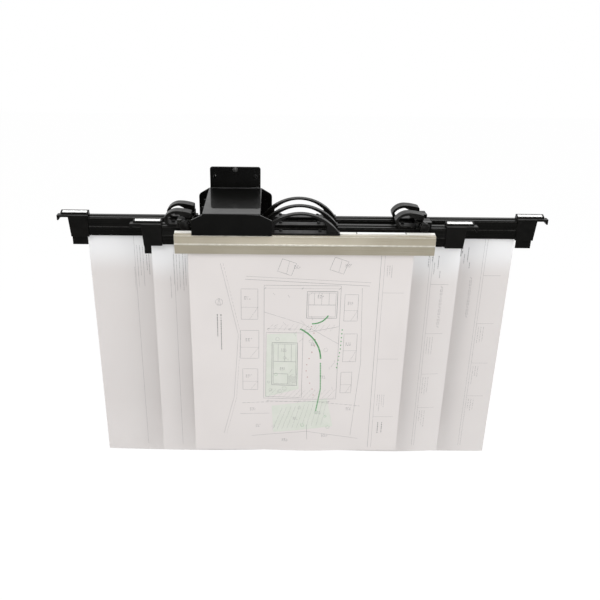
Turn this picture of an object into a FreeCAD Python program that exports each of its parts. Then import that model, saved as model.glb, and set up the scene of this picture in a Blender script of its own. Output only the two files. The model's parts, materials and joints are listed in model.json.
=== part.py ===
import FreeCAD, Part
import Sketcher
import os
import re

# Wall rack that carries three plan binders one behind the other.
# Frame: the origin lies midway between the two wall screws, on the wall. +X is to the right for
# someone facing the rack, -Y leaves the wall and +Z is up. All lengths are millimetres.

doc = FreeCAD.newDocument("plan_hanging_rack")
sizes = doc.addObject("Spreadsheet::Sheet", "sizes")

drivingSizes = [
    # wall bracket
    ("screw_spacing", 80, "between the two wall screws"),
    ("screw_hole", 5.5, "diameter of a wall screw hole"),
    ("screw_rise", 24, "wall screws above the top panel's upper face"),
    ("plate_gauge", 2.5, "sheet steel of the bracket"),
    ("upper_width", 100, "wall plate above the panel"),
    ("upper_height", 43, "wall plate above the panel's upper face"),
    ("upper_corner", 5, "radius of the wall plate's upper corners"),
    ("slot_length", 10, "hanging slot near the wall plate's top edge"),
    ("slot_width", 5, "height of that slot"),
    ("slot_inset", 5.5, "slot centre below the top edge"),
    ("panel_width", 104, "top panel, side to side"),
    ("panel_depth", 166, "wall to the front plate's outer face"),
    ("panel_rise", 40, "panel's upper face above the clamp bars' tops"),
    ("skirt_gap", 0.5, "lower edge of the front plate above the clamp bars' tops"),
    ("back_drop", 21.5, "lower edge of the wall plate below the clamp bars' tops"),
    ("wing_width", 146, "both plates across their wings"),
    ("shoulder_drop", 12.5, "height of the sloping shoulders"),
    # support rods
    ("rod_spacing", 68, "between the two support rods"),
    ("rod_diameter", 8, "support rod"),
    ("rod_rise", 20, "rod axis above the clamp bars' tops"),
    ("neck_diameter", 6, "turned neck that holds a hanger in place"),
    ("neck_play", 0.5, "between a hanger and each shoulder of its neck"),
    # places of the binders
    ("binder_pitch", 47, "from one sheet plane to the next"),
    ("front_gap", 0.5, "between the front plate and the foremost handle's foot"),
    ("wing_gap", 3.5, "between the wings and the upright of the left loops, seen from the front"),
    # rear jaw of a clamp bar
    ("bar_height", 39, "clamp bar"),
    ("rear_reach", 9.5, "sheet plane to the rear face"),
    ("jaw_wall", 2, "walls of both jaws"),
    ("flange_thick", 2.5, "top flange of the rear jaw, which takes the screws"),
    ("flange_edge", 0.3, "rear jaw's top flange reaches this far in front of the sheet plane"),
    ("lip_height", 6, "gripping lips"),
    ("lip_thick", 1.9, "gripping lips"),
    ("lip_clearance", 0.05, "between a lip and the bundle of sheets"),
    ("pivot_reach", 0.5, "hinge axis in front of the sheet plane"),
    ("socket_diameter", 5, "hinge socket"),
    ("socket_wall", 1.8, "wall round the socket"),
    ("mouth_lip", 0.1, "socket's mouth is this much lower than its bore, at each side"),
    ("hinge_gap", 0.3, "between the socket's wall and the front jaw's flange"),
    ("web_reach", 3, "rear face of the web that carries the socket"),
    # front jaw
    ("bead_clearance", 0.3, "between bead and socket"),
    ("bead_neck", 1.6, "rib between the bead and the front wall"),
    ("front_drop", 1.3, "front jaw's top below the rear jaw's top"),
    ("front_flange", 2.1, "top flange of the front jaw"),
    ("front_edge", 1.6, "front jaw's flange starts this far in front of the sheet plane"),
    ("top_reach", 8.9, "front face at the top"),
    ("ridge_reach", 10.2, "front face at the ridge line"),
    ("ridge_drop", 19.6, "ridge line below the top"),
    ("base_reach", 7.6, "front face at the bottom"),
    # lengths of the three clamp bars and of their sheets
    ("clamp_a0", 834, "gripping length of the A0 bar, between its end caps"),
    ("cap_room", 5.5, "between the A1 bar's left end cap and the loop beside it"),
    ("clamp_a2", 479, "length of the A2 bar, which has no end caps"),
    ("sheet_a0", 841, "width of an A0 sheet across its short edge"),
    ("sheet_a1", 594, "width of an A1 sheet across its short edge"),
    ("sheet_a2", 420, "width of an A2 sheet across its short edge"),
    ("shift_a0", -1.4, "middle of the A0 sheets from the middle of their bar"),
    ("shift_a1", 6, "middle of the A1 sheets from the middle of their bar"),
    ("shift_a2", -6.5, "middle of the A2 sheets from the middle of their bar"),
    ("hang_a0", 550, "lower edge of the A0 sheets below the bar's top"),
    ("hang_a1", 516, "lower edge of the A1 sheets below the bar's top"),
    ("hang_a2", 481, "lower edge of the A2 sheets below the bar's top"),
    ("sheet_thick", 1, "bundle of sheets"),
    ("sheet_tuck", 3, "upper edge of the sheets above the gripping lips"),
    # feet that are screwed to the rear jaw
    ("foot_thick", 3, "foot of the handle, of each loop and of the hanger"),
    ("screw_reach", 5.3, "screw line behind the sheet plane"),
    ("screw_diameter", 4, "M4 screw"),
    ("screw_length", 5, "screw below the rear jaw's top"),
    ("head_diameter", 7, "screw head"),
    ("head_height", 2.4, "screw head"),
    ("hole_clearance", 0.1, "round each screw, on the radius"),
    # carrying handle
    ("handle_gap", 5.5, "between the hanger and the handle's foot"),
    ("handle_length", 144, "foot strip of the handle"),
    ("strip_depth", 18, "foot strip, front to back"),
    ("arch_inset", 2, "from each end of the foot strip to the arch"),
    ("handle_height", 39.5, "top of the arch above the bar"),
    ("strap_depth", 11, "arch, front to back"),
    ("strap_thick", 3, "arch at its top"),
    ("grip_width", 95, "opening for the hand"),
    ("grip_shoulder", 17, "straight sides of the opening above the bar"),
    ("handle_screws", 72, "between the handle's two screws"),
    # hanger plate
    ("hanger_gauge", 3, "steel of the hanger"),
    ("hanger_headroom", 3.5, "between the hanger and the top panel"),
    ("hanger_tail", 24, "hanger beyond the left rod"),
    ("hanger_depth", 8.5, "foot behind the sheet plane"),
    ("hanger_inset", 10, "hanger's screws from its two ends"),
    ("hook_clearance", 0.3, "between a neck and its hook"),
    ("slide_travel", 20, "leftward travel that frees a binder"),
    ("release_margin", 3, "clear of the right rod after that travel"),
    # hanging loops
    ("loop_half", 217, "binder's middle to the middle of each loop's upright"),
    ("loop_depth", 20, "loop, front to back"),
    ("loop_height", 28.5, "highest point of a loop above the bar"),
    ("loop_end", 24.6, "top of a loop above the bar at its upright"),
    ("loop_band", 5, "band of a loop"),
    ("loop_reach", 46, "middle of the upright to the loop's far side"),
    ("loop_waist", 14, "height of the far side's widest point"),
    ("loop_heel", 40, "middle of the upright to the far end of the foot"),
    ("loop_bulge", 17, "radius of the lower far side"),
    ("loop_crown", 22, "middle of the upright to the loop's highest point"),
    ("loop_toe", 12, "middle of the upright to the near end of the foot"),
    ("post_width", 13, "upright of a loop"),
    ("post_corner", 3, "radius of the upright's top corner"),
    ("post_front", 3.4, "front face of the upright, in front of the sheet plane"),
    ("window_shoulder", 16, "height of the window's straight side"),
    ("seat_height", 12, "top of the seat that carries the stud"),
    ("lug_side_gap", 0.8, "between the clamp block and the loop beside it"),
    ("lug_headroom", 1.8, "between the clamp block and the loop's overhanging top"),
    ("loop_screw", 30, "middle of the upright to the loop's screw"),
    # clamp block, stud and knob
    ("knob_out", 6.5, "knob axis outwards from the middle of the upright"),
    ("squeeze_gap", 3.9, "between the upright and the clamp block, which closes when squeezed"),
    ("foot_gap", 1.4, "between the upright and the foot of the clamp block"),
    ("lug_width", 28.5, "clamp block, and the seat behind it"),
    ("lug_depth", 9, "clamp block, front to back"),
    ("lug_gauge", 1.5, "foot of the clamp block on the front jaw"),
    ("lug_height", 13, "top of the clamp block above the bar"),
    ("lug_hole", 8.4, "hole that lets the clamp block swing round its stud"),
    ("stud_rise", 4.5, "knob axis above the bar"),
    ("stud_diameter", 5, "stud"),
    ("stud_clearance", 0.1, "round the stud in its upright, on the radius"),
    ("stud_head", 10, "head behind the upright"),
    ("stud_head_thick", 3, "head behind the upright"),
    ("end_play", 0.3, "between the head and the upright"),
    ("knob_gap", 0.5, "between the knob and the clamp block"),
    ("knob_diameter", 19, "knob"),
    ("knob_thick", 9, "knob"),
    ("knob_bevel", 1.5, "front edge of the knob"),
    ("knob_bore", 6, "depth of the blind bore that takes the stud"),
    ("bore_clearance", 0.05, "between the stud and its bore, on the radius and at the end"),
    ("flute_radius", 2.4, "grip flutes round the knob"),
    ("flute_depth", 0.9, "grip flutes round the knob"),
    # end caps and their labels
    ("cap_length", 38, "end cap at its top"),
    ("cap_taper", 3.5, "end cap is this much shorter at its bottom"),
    ("cap_front", 11, "front face of a cap, in front of the sheet plane"),
    ("cap_rear", 11.5, "rear face of a cap, behind the sheet plane"),
    ("cap_top", 2, "top of a cap above the bar"),
    ("cap_floor", 1.2, "floor of a cap below its cavity"),
    ("cap_fit", 0.3, "round the rear jaw inside a cap"),
    ("cap_grip", 30, "length of the rear jaw inside a cap"),
    ("cap_gap", 0.5, "between the front jaw and a cap"),
    ("cavity_gap", 0.2, "between the hinge socket and the front of a cap's cavity"),
    ("slit_width", 2, "slit that lets the sheets pass through a cap"),
    ("slit_headroom", 3, "top of that slit above the sheets"),
    ("tab_inset", 6, "tab from the cap's inner end"),
    ("tab_width", 30, "tab behind the sheets"),
    ("tab_drop", 22, "tab below the bar"),
    ("tab_near", 1.2, "front face of the tab behind the sheet plane"),
    ("tab_gauge", 2.5, "tab"),
    ("arm_reach", 59.5, "tip of the end arm from the cap's inner end"),
    ("arm_root", 30, "start of the arm inside the cap"),
    ("arm_front", 9, "arm in front of the sheet plane"),
    ("arm_rear", 4, "arm behind the sheet plane"),
    ("arm_under", 2, "underside of the arm below the bar's top"),
    ("tooth_drop", 8, "point of the end tooth below the bar's top"),
    ("tooth_width", 2.7, "point of the end tooth"),
    ("tooth_root", 6.5, "end tooth where it leaves the arm"),
    ("tray_length", 54, "label tray"),
    ("tray_depth", 9.8, "label tray behind the sheet plane"),
    ("tray_low", 3.7, "front edge of the tray above the bar"),
    ("tray_high", 6.7, "rear edge of the tray above the bar"),
    ("tray_sink", 0.5, "tray let into the cap, and cheeks let into the tray"),
    ("cheek_thick", 1.6, "cheeks at the tray's ends"),
    ("cheek_rise", 0.8, "cheeks above the tray"),
    ("label_gauge", 0.4, "label card"),
    ("label_margin", 0.4, "label inside its tray, all round"),
]
sizes.set("A1", "name")
sizes.set("B1", "millimetres")
sizes.set("C1", "what it measures")
for row, (name, number, note) in enumerate(drivingSizes, start=2):
    sizes.set(f"A{row}", name)
    sizes.set(f"B{row}", str(number))
    sizes.set(f"C{row}", note)
    sizes.setAlias(f"B{row}", name)
doc.recompute()

fluteCount = 10
fullTurn = 360
past = 1  # a cut starts and ends this far outside the faces it opens

aliases = {name for name, number, note in drivingSizes}
word = re.compile(r"[a-z][a-z0-9_]*")
sketchNormal = {"XY": 1, "XZ": -1, "YZ": 1}


def bound(formula):
    # A formula names cells of the sheet; other objects reach a cell as sizes.name.
    return word.sub(lambda match: "sizes." + match[0] if match[0] in aliases else match[0], formula)


def value(formula):
    return float(sizes.evalExpression(formula))


def subPart(label, x="0", y="0", z="0"):
    body = doc.addObject("PartDesign::Body", label)
    body.Label = label
    for axis, formula in zip("xyz", (x, y, z)):
        body.setExpression(f"Placement.Base.{axis}", bound(formula))
    return body


def startSketch(body, plane, centre="0"):
    # centre is the sketch plane's place along its normal, in the body's own frame.
    sketch = body.newObject("Sketcher::SketchObject", body.Label + "_sketch")
    support = [item for item in body.Origin.OriginFeatures if item.Role == plane + "_Plane"][0]
    sketch.AttachmentSupport = [(support, "")]
    sketch.MapMode = "FlatFace"
    sketch.setExpression("AttachmentOffset.Base.z", bound(f"{sketchNormal[plane]} * ({centre})"))
    return sketch


def hold(sketch, kind, geometry, point, formula):
    number = sketch.addConstraint(Sketcher.Constraint(kind, geometry, point, value(formula)))
    sketch.setExpression(f"Constraints[{number}]", bound(formula))


def drawOutline(sketch, corners, arcs=None):
    # corners are (across, up) formulas. arcs maps a corner's index to (radius, turn): the edge
    # that leaves that corner is then an arc, with its centre on the left for turn 1 and on the
    # right for turn -1.
    arcs = arcs or {}
    places = [FreeCAD.Vector(value(across), value(up), 0) for across, up in corners]
    first = sketch.GeometryCount
    ends = []
    for index, start in enumerate(places):
        finish = places[(index + 1) % len(places)]
        if index in arcs:
            radius, turn = arcs[index]
            chord = finish - start
            left = FreeCAD.Vector(-chord.y, chord.x, 0).normalize()
            size = value(radius)
            rise = (size * size - chord.Length * chord.Length / 4) ** 0.5
            centre = (start + finish) * 0.5 + left * (rise * turn)
            middle = centre - left * (size * turn)
            sketch.addGeometry(Part.Arc(start, middle, finish))
            number = sketch.addConstraint(Sketcher.Constraint("Radius", first + index, size))
            sketch.setExpression(f"Constraints[{number}]", bound(radius))
            ends.append((1, 2) if turn > 0 else (2, 1))
        else:
            sketch.addGeometry(Part.LineSegment(start, finish))
            ends.append((1, 2))
    for index in range(len(places)):
        follower = (index + 1) % len(places)
        sketch.addConstraint(Sketcher.Constraint(
            "Coincident", first + index, ends[index][1], first + follower, ends[follower][0]))
    for index, (across, up) in enumerate(corners):
        hold(sketch, "DistanceX", first + index, ends[index][0], across)
        hold(sketch, "DistanceY", first + index, ends[index][0], up)


def drawCircles(sketch, radius, centres):
    for across, up in centres:
        circle = Part.Circle(FreeCAD.Vector(value(across), value(up), 0),
                             FreeCAD.Vector(0, 0, 1), value(radius))
        geometry = sketch.addGeometry(circle)
        number = sketch.addConstraint(Sketcher.Constraint("Radius", geometry, value(radius)))
        sketch.setExpression(f"Constraints[{number}]", bound(radius))
        hold(sketch, "DistanceX", geometry, 3, across)
        hold(sketch, "DistanceY", geometry, 3, up)


def sweep(body, kind, plane, low, high):
    # Starts a Pad or Pocket that runs from low to high along the plane's normal axis.
    sketch = startSketch(body, plane, f"(({low}) + ({high})) / 2")
    feature = body.newObject("PartDesign::" + kind, f"{body.Label}_{kind.lower()}")
    feature.Profile = sketch
    feature.SideType = "Symmetric"
    feature.setExpression("Length", bound(f"({high}) - ({low})"))
    body.Tip = feature
    return sketch


def padOutline(body, plane, low, high, corners, arcs=None):
    drawOutline(sweep(body, "Pad", plane, low, high), corners, arcs)


def cutOutline(body, plane, low, high, corners, arcs=None):
    drawOutline(sweep(body, "Pocket", plane, low, high), corners, arcs)


def padCircles(body, plane, low, high, radius, centres):
    drawCircles(sweep(body, "Pad", plane, low, high), radius, centres)


def cutCircles(body, plane, low, high, radius, centres):
    drawCircles(sweep(body, "Pocket", plane, low, high), radius, centres)


def turned(body, corners):
    # A solid of revolution about the body's Y axis, from (radius, y) corners.
    sketch = startSketch(body, "XY")
    drawOutline(sketch, corners)
    feature = body.newObject("PartDesign::Revolution", body.Label + "_revolution")
    feature.Profile = sketch
    feature.ReferenceAxis = (sketch, ["V_Axis"])
    feature.Angle = fullTurn
    body.Tip = feature


def rectangle(left, right, low, high):
    return [(left, low), (right, low), (right, high), (left, high)]


# ---------------------------------------------------------------- what several pieces share

barTop = "-(screw_rise + panel_rise)"
panelTop = "-screw_rise"
plateBase = "skirt_gap - screw_rise - panel_rise"
wallBase = "-(screw_rise + panel_rise + back_drop)"
plateTop = "upper_height - screw_rise"
wallFace = "-plate_gauge"
frontInside = "plate_gauge - panel_depth"
binderMiddle = "(loop_half - post_width / 2 - wing_width / 2 - wing_gap)"
hangerStart = "(-rod_spacing / 2 - hanger_tail)"
hangerEnd = "(rod_spacing / 2 + slide_travel - neck_diameter / 2 - release_margin)"
hangerTop = "(panel_rise - plate_gauge - hanger_headroom)"
handleMiddle = f"({hangerEnd} - {binderMiddle} + handle_gap + handle_length / 2)"
pivotLevel = "(-front_drop - front_flange - hinge_gap - socket_wall - socket_diameter / 2)"
lipTop = "(lip_height - bar_height)"
sheetTop = f"({lipTop} + sheet_tuck)"
lugFront = "(post_front + squeeze_gap + lug_depth)"
knobBack = f"-({lugFront} + knob_gap)"
knobFace = f"{knobBack} - knob_thick"

# From the wall outwards: name, half of the bar between its end caps, and whether it has these
# caps, the hanging loops and the knobs. The shortest bar is plain and is closed by hand.
binders = [("a0", "clamp_a0 / 2", True),
           ("a1", "loop_half + loop_reach + cap_room", True),
           ("a2", "clamp_a2 / 2", False)]


def sheetPlane(number):
    # The foremost handle's foot stands just behind the front plate; the others follow.
    steps = len(binders) - 1 - number
    return f"({frontInside} + front_gap + strip_depth / 2 + {steps} * binder_pitch)"


def screwPlaces(looped):
    # Two hold the handle, two the hanger and one each loop.
    across = [f"{handleMiddle} - handle_screws / 2",
              f"{handleMiddle} + handle_screws / 2",
              f"{hangerStart} - {binderMiddle} + hanger_inset",
              f"{hangerEnd} - {binderMiddle} - hanger_inset"]
    if looped:
        across += ["-loop_half - loop_screw", "loop_half - loop_screw"]
    return [(formula, "screw_reach") for formula in across]


# ---------------------------------------------------------------- wall bracket

def wingedSides(base):
    # Lower corners and sloping shoulders; the wall plate and the front plate share the latter.
    right = [("wing_width / 2", base), ("wing_width / 2", f"{panelTop} - shoulder_drop"),
             ("panel_width / 2", panelTop)]
    left = [(f"-({across})", up) for across, up in reversed(right)]
    return left, right


def wallPlate():
    body = subPart("wall_plate")
    left, right = wingedSides(wallBase)
    crown = [("upper_width / 2", panelTop),
             ("upper_width / 2", f"{plateTop} - upper_corner"),
             ("upper_width / 2 - upper_corner", plateTop),
             ("upper_corner - upper_width / 2", plateTop),
             ("-upper_width / 2", f"{plateTop} - upper_corner"),
             ("-upper_width / 2", panelTop)]
    corners = right + crown + left
    rounding = {len(right) + 1: ("upper_corner", 1), len(right) + 3: ("upper_corner", 1)}
    padOutline(body, "XZ", wallFace, "0", corners, rounding)
    cutCircles(body, "XZ", f"{wallFace} - {past}", f"{past}", "screw_hole / 2",
               [("-screw_spacing / 2", "0"), ("screw_spacing / 2", "0")])
    slotLevel = f"{plateTop} - slot_inset"
    slotEnd = "(slot_length - slot_width) / 2"
    cutOutline(body, "XZ", f"{wallFace} - {past}", f"{past}", rectangle(
        f"-{slotEnd}", slotEnd, f"{slotLevel} - slot_width / 2", f"{slotLevel} + slot_width / 2"))
    for side in ("-", ""):
        cutCircles(body, "XZ", f"{wallFace} - {past}", f"{past}", "slot_width / 2",
                   [(side + slotEnd, slotLevel)])


def hood():
    # Top panel and front plate, folded from one sheet and welded to the wall plate.
    body = subPart("hood")
    left, right = wingedSides(plateBase)
    padOutline(body, "XZ", "-panel_depth", frontInside, right + left)
    padOutline(body, "XY", f"{panelTop} - plate_gauge", panelTop,
               rectangle("-panel_width / 2", "panel_width / 2", "-panel_depth", wallFace))


def supportRod(label, side):
    body = subPart(label, f"{side} * rod_spacing / 2", "0", f"{barTop} + rod_rise")
    neckHalf = "hanger_gauge / 2 + neck_play"
    corners = [("0", wallFace), ("rod_diameter / 2", wallFace)]
    for number in range(len(binders)):
        neck = sheetPlane(number)
        corners += [("rod_diameter / 2", f"{neck} + ({neckHalf})"),
                    ("neck_diameter / 2", f"{neck} + ({neckHalf})"),
                    ("neck_diameter / 2", f"{neck} - ({neckHalf})"),
                    ("rod_diameter / 2", f"{neck} - ({neckHalf})")]
    corners += [("rod_diameter / 2", frontInside), ("0", frontInside)]
    turned(body, corners)


# ---------------------------------------------------------------- clamp bars

def rearJaw(label, place, half, looped):
    body = subPart(label, *place)
    inner = "rear_reach - jaw_wall"
    lipFace = "sheet_thick / 2 + lip_clearance"
    padOutline(body, "YZ", f"-({half})", half, [
        ("-flange_edge", "0"), ("rear_reach", "0"), ("rear_reach", "-bar_height"),
        (lipFace, "-bar_height"), (lipFace, lipTop), (f"{lipFace} + lip_thick", lipTop),
        (f"{lipFace} + lip_thick", "flange_thick - bar_height"),
        (inner, "flange_thick - bar_height"), (inner, "-flange_thick"),
        ("-flange_edge", "-flange_thick")])
    padOutline(body, "YZ", f"-({half})", half,
               rectangle("-flange_edge", "web_reach", pivotLevel, "-flange_thick"))
    padCircles(body, "YZ", f"-({half})", half, "socket_diameter / 2 + socket_wall",
               [("-pivot_reach", pivotLevel)])
    cutCircles(body, "YZ", f"-({half}) - {past}", f"{half} + {past}", "socket_diameter / 2",
               [("-pivot_reach", pivotLevel)])
    mouth = "(socket_diameter / 2 - mouth_lip)"
    cutOutline(body, "YZ", f"-({half}) - {past}", f"{half} + {past}", rectangle(
        f"-pivot_reach - socket_diameter / 2 - socket_wall - {past}", "-pivot_reach",
        f"{pivotLevel} - {mouth}", f"{pivotLevel} + {mouth}"))
    cutCircles(body, "XY", f"-flange_thick - {past}", f"{past}",
               "screw_diameter / 2 + hole_clearance", screwPlaces(looped))


def frontJaw(label, place, half):
    body = subPart(label, *place)
    lipFace = "-(sheet_thick / 2 + lip_clearance)"
    padOutline(body, "YZ", f"-({half})", half, [
        ("-front_edge", "-front_drop"), ("-top_reach", "-front_drop"),
        ("-ridge_reach", "-ridge_drop"), ("-base_reach", "-bar_height"),
        (lipFace, "-bar_height"), (lipFace, lipTop), (f"{lipFace} - lip_thick", lipTop),
        (f"{lipFace} - lip_thick", "flange_thick - bar_height"),
        ("jaw_wall - base_reach", "flange_thick - bar_height"),
        ("jaw_wall - ridge_reach", "-ridge_drop"),
        ("jaw_wall - top_reach", "-front_drop - front_flange"),
        ("-front_edge", "-front_drop - front_flange")])
    padCircles(body, "YZ", f"-({half})", half, "socket_diameter / 2 - bead_clearance",
               [("-pivot_reach", pivotLevel)])
    padOutline(body, "YZ", f"-({half})", half, rectangle(
        "jaw_wall / 2 - top_reach", "-pivot_reach",
        f"{pivotLevel} - bead_neck / 2", f"{pivotLevel} + bead_neck / 2"))


def sheetBundle(label, place, width, shift, drop):
    body = subPart(label, *place)
    padOutline(body, "XZ", "-sheet_thick / 2", "sheet_thick / 2", rectangle(
        f"{shift} - {width} / 2", f"{shift} + {width} / 2", f"-{drop}", sheetTop))


def railScrews(label, place, looped):
    body = subPart(label, *place)
    places = screwPlaces(looped)
    padCircles(body, "XY", "foot_thick", "foot_thick + head_height", "head_diameter / 2", places)
    padCircles(body, "XY", "-screw_length", "foot_thick", "screw_diameter / 2", places)


# ---------------------------------------------------------------- what the rear jaw carries

def drillFoot(body, places):
    cutCircles(body, "XY", f"-{past}", f"foot_thick + {past}",
               "screw_diameter / 2 + hole_clearance", places)


def handle(label, place):
    body = subPart(label, *place)
    start = f"{handleMiddle} - handle_length / 2"
    end = f"{handleMiddle} + handle_length / 2"
    archHalf = "(handle_length / 2 - arch_inset)"
    rise = "(handle_height - foot_thick)"
    inside = "(handle_height - strap_thick - grip_shoulder)"
    gripStart = f"{handleMiddle} - grip_width / 2"
    gripEnd = f"{handleMiddle} + grip_width / 2"
    padOutline(body, "XZ", "-strip_depth / 2", "strip_depth / 2",
               rectangle(start, end, "0", "foot_thick"))
    padOutline(body, "XZ", "-strap_depth / 2", "strap_depth / 2",
               [(f"{start} + arch_inset", "foot_thick"), (f"{end} - arch_inset", "foot_thick")],
               {1: (f"({archHalf} ^ 2 + {rise} ^ 2) / (2 * {rise})", 1)})
    cutOutline(body, "XZ", f"-strip_depth / 2 - {past}", f"strip_depth / 2 + {past}",
               rectangle(gripStart, gripEnd, "foot_thick", "grip_shoulder"),
               {2: (f"((grip_width / 2) ^ 2 + {inside} ^ 2) / (2 * {inside})", 1)})
    drillFoot(body, screwPlaces(False)[0:2])


def hanger(label, place):
    # Drawn about the bracket's middle, where the rods are.
    body = subPart(label, "0", *place[1:])
    reach = "(neck_diameter / 2 + hook_clearance)"
    padOutline(body, "XZ", "-hanger_gauge / 2", "hanger_gauge / 2",
               rectangle(hangerStart, hangerEnd, "0", hangerTop))
    padOutline(body, "XZ", "-hanger_gauge / 2", "hanger_depth",
               rectangle(hangerStart, hangerEnd, "0", "foot_thick"))
    for near in ("-rod_spacing / 2", "rod_spacing / 2"):
        cutOutline(body, "XZ", "-hanger_gauge", "hanger_gauge", rectangle(
            near, f"{near} + slide_travel", f"rod_rise - {reach}", f"rod_rise + {reach}"))
        cutCircles(body, "XZ", "-hanger_gauge", "hanger_gauge", reach, [(near, "rod_rise")])
    mouth = "slide_travel - rod_spacing / 2"
    cutOutline(body, "XZ", "-hanger_gauge", "hanger_gauge", rectangle(
        f"{mouth} - {reach}", f"{mouth} + {reach}",
        f"rod_rise - {reach}", f"{hangerTop} + {past}"))
    drillFoot(body, [(f"{across} + {binderMiddle}", up) for across, up in screwPlaces(False)[2:4]])


def loop(label, place, side):
    # Drawn about the middle of its upright. Both loops of a binder open the same way; only the
    # seat of the stud lies on the outer side of each.
    body = subPart(label, f"{place[0]} + {side} * loop_half", *place[1:])
    reach = "(loop_reach - loop_crown)"
    drop = "(loop_height - loop_waist)"
    crownReach = "(loop_crown + post_width / 2 - post_corner)"
    fall = "(loop_height - loop_end)"
    inReach = "(loop_reach - loop_band - loop_crown)"
    inDrop = "(loop_height - loop_band - loop_waist)"
    front = f"-loop_depth / 2 - {past}"
    rear = f"loop_depth / 2 + {past}"
    padOutline(body, "XZ", "-loop_depth / 2", "loop_depth / 2",
               [("-loop_heel", "0"), ("loop_toe", "0"), ("loop_toe", "foot_thick"),
                ("post_width / 2", "foot_thick"),
                ("post_width / 2", "loop_end - post_corner"),
                ("post_width / 2 - post_corner", "loop_end"),
                ("-loop_crown", "loop_height"), ("-loop_reach", "loop_waist")],
               {4: ("post_corner", 1), 7: ("loop_bulge", 1),
                5: (f"({crownReach} ^ 2 + {fall} ^ 2) / (2 * {fall})", 1),
                6: (f"({reach} ^ 2 + {drop} ^ 2) / (2 * {drop})", 1)})
    cutOutline(body, "XZ", front, rear,
               [("-loop_heel + loop_band", "foot_thick"), ("-post_width / 2", "foot_thick"),
                ("-post_width / 2", "window_shoulder"),
                ("-loop_crown", "loop_height - loop_band"),
                ("-loop_reach + loop_band", "loop_waist")],
               {4: ("loop_bulge - loop_band / 2", 1),
                3: (f"({inReach} ^ 2 + {inDrop} ^ 2) / (2 * {inDrop})", 1)})
    knobAcross = f"{side} * knob_out"
    padOutline(body, "XZ", "-post_front", "loop_depth / 2", rectangle(
        f"{knobAcross} - lug_width / 2", f"{knobAcross} + lug_width / 2", "0", "seat_height"))
    cutOutline(body, "XZ", front, "-post_front", rectangle(
        f"{knobAcross} - lug_width / 2 - lug_side_gap", f"loop_toe + {past}",
        f"-{past}", "lug_height + lug_headroom"))
    cutCircles(body, "XZ", f"-post_front - {past}", rear, "stud_diameter / 2 + stud_clearance",
               [(knobAcross, "stud_rise")])
    drillFoot(body, [("-loop_screw", "screw_reach")])


def knobColumn(place, side):
    return f"{place[0]} + {side} * (loop_half + knob_out)"


def lug(label, place, side):
    # The clamp block stands on the front jaw, between the knob and the loop's upright.
    body = subPart(label, knobColumn(place, side), *place[1:])
    front = f"-{lugFront}"
    rear = f"lug_depth - {lugFront}"
    heel = "-post_front - foot_gap"
    padOutline(body, "YZ", "-lug_width / 2", "lug_width / 2",
               [(front, "-front_drop"), (heel, "-front_drop"), (heel, "lug_gauge - front_drop"),
                (rear, "lug_gauge - front_drop"), (rear, "lug_height"), (front, "lug_height")])
    cutCircles(body, "XZ", f"{front} - {past}", f"{rear} + {past}", "lug_hole / 2",
               [("0", "stud_rise")])


def stud(label, place, side):
    body = subPart(label, knobColumn(place, side), place[1], f"{place[2]} + stud_rise")
    tip = f"{knobBack} - knob_bore + bore_clearance"
    head = "loop_depth / 2 + end_play"
    turned(body, [("0", tip), ("stud_diameter / 2", tip), ("stud_diameter / 2", head),
                  ("stud_head / 2", head), ("stud_head / 2", f"{head} + stud_head_thick"),
                  ("0", f"{head} + stud_head_thick")])


def knob(label, place, side):
    body = subPart(label, knobColumn(place, side), place[1], f"{place[2]} + stud_rise")
    bore = "stud_diameter / 2 + bore_clearance"
    turned(body, [("0", knobFace), ("knob_diameter / 2 - knob_bevel", knobFace),
                  ("knob_diameter / 2", f"{knobFace} + knob_bevel"),
                  ("knob_diameter / 2", knobBack), (bore, knobBack),
                  (bore, f"{knobBack} - knob_bore"), ("0", f"{knobBack} - knob_bore")])
    cutCircles(body, "XZ", f"{knobFace} - {past}", f"{knobBack} + {past}", "flute_radius",
               [("knob_diameter / 2 + flute_radius - flute_depth", "0")])
    flute = body.Tip
    ring = body.newObject("PartDesign::PolarPattern", label + "_ring")
    ring.Originals = [flute]
    ring.Axis = (flute.Profile[0], ["N_Axis"])
    ring.Angle = fullTurn
    ring.Occurrences = fluteCount
    body.Tip = ring


# ---------------------------------------------------------------- end caps

def along(side, *distances):
    return [f"{side} * ({distance})" for distance in distances]


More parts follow.
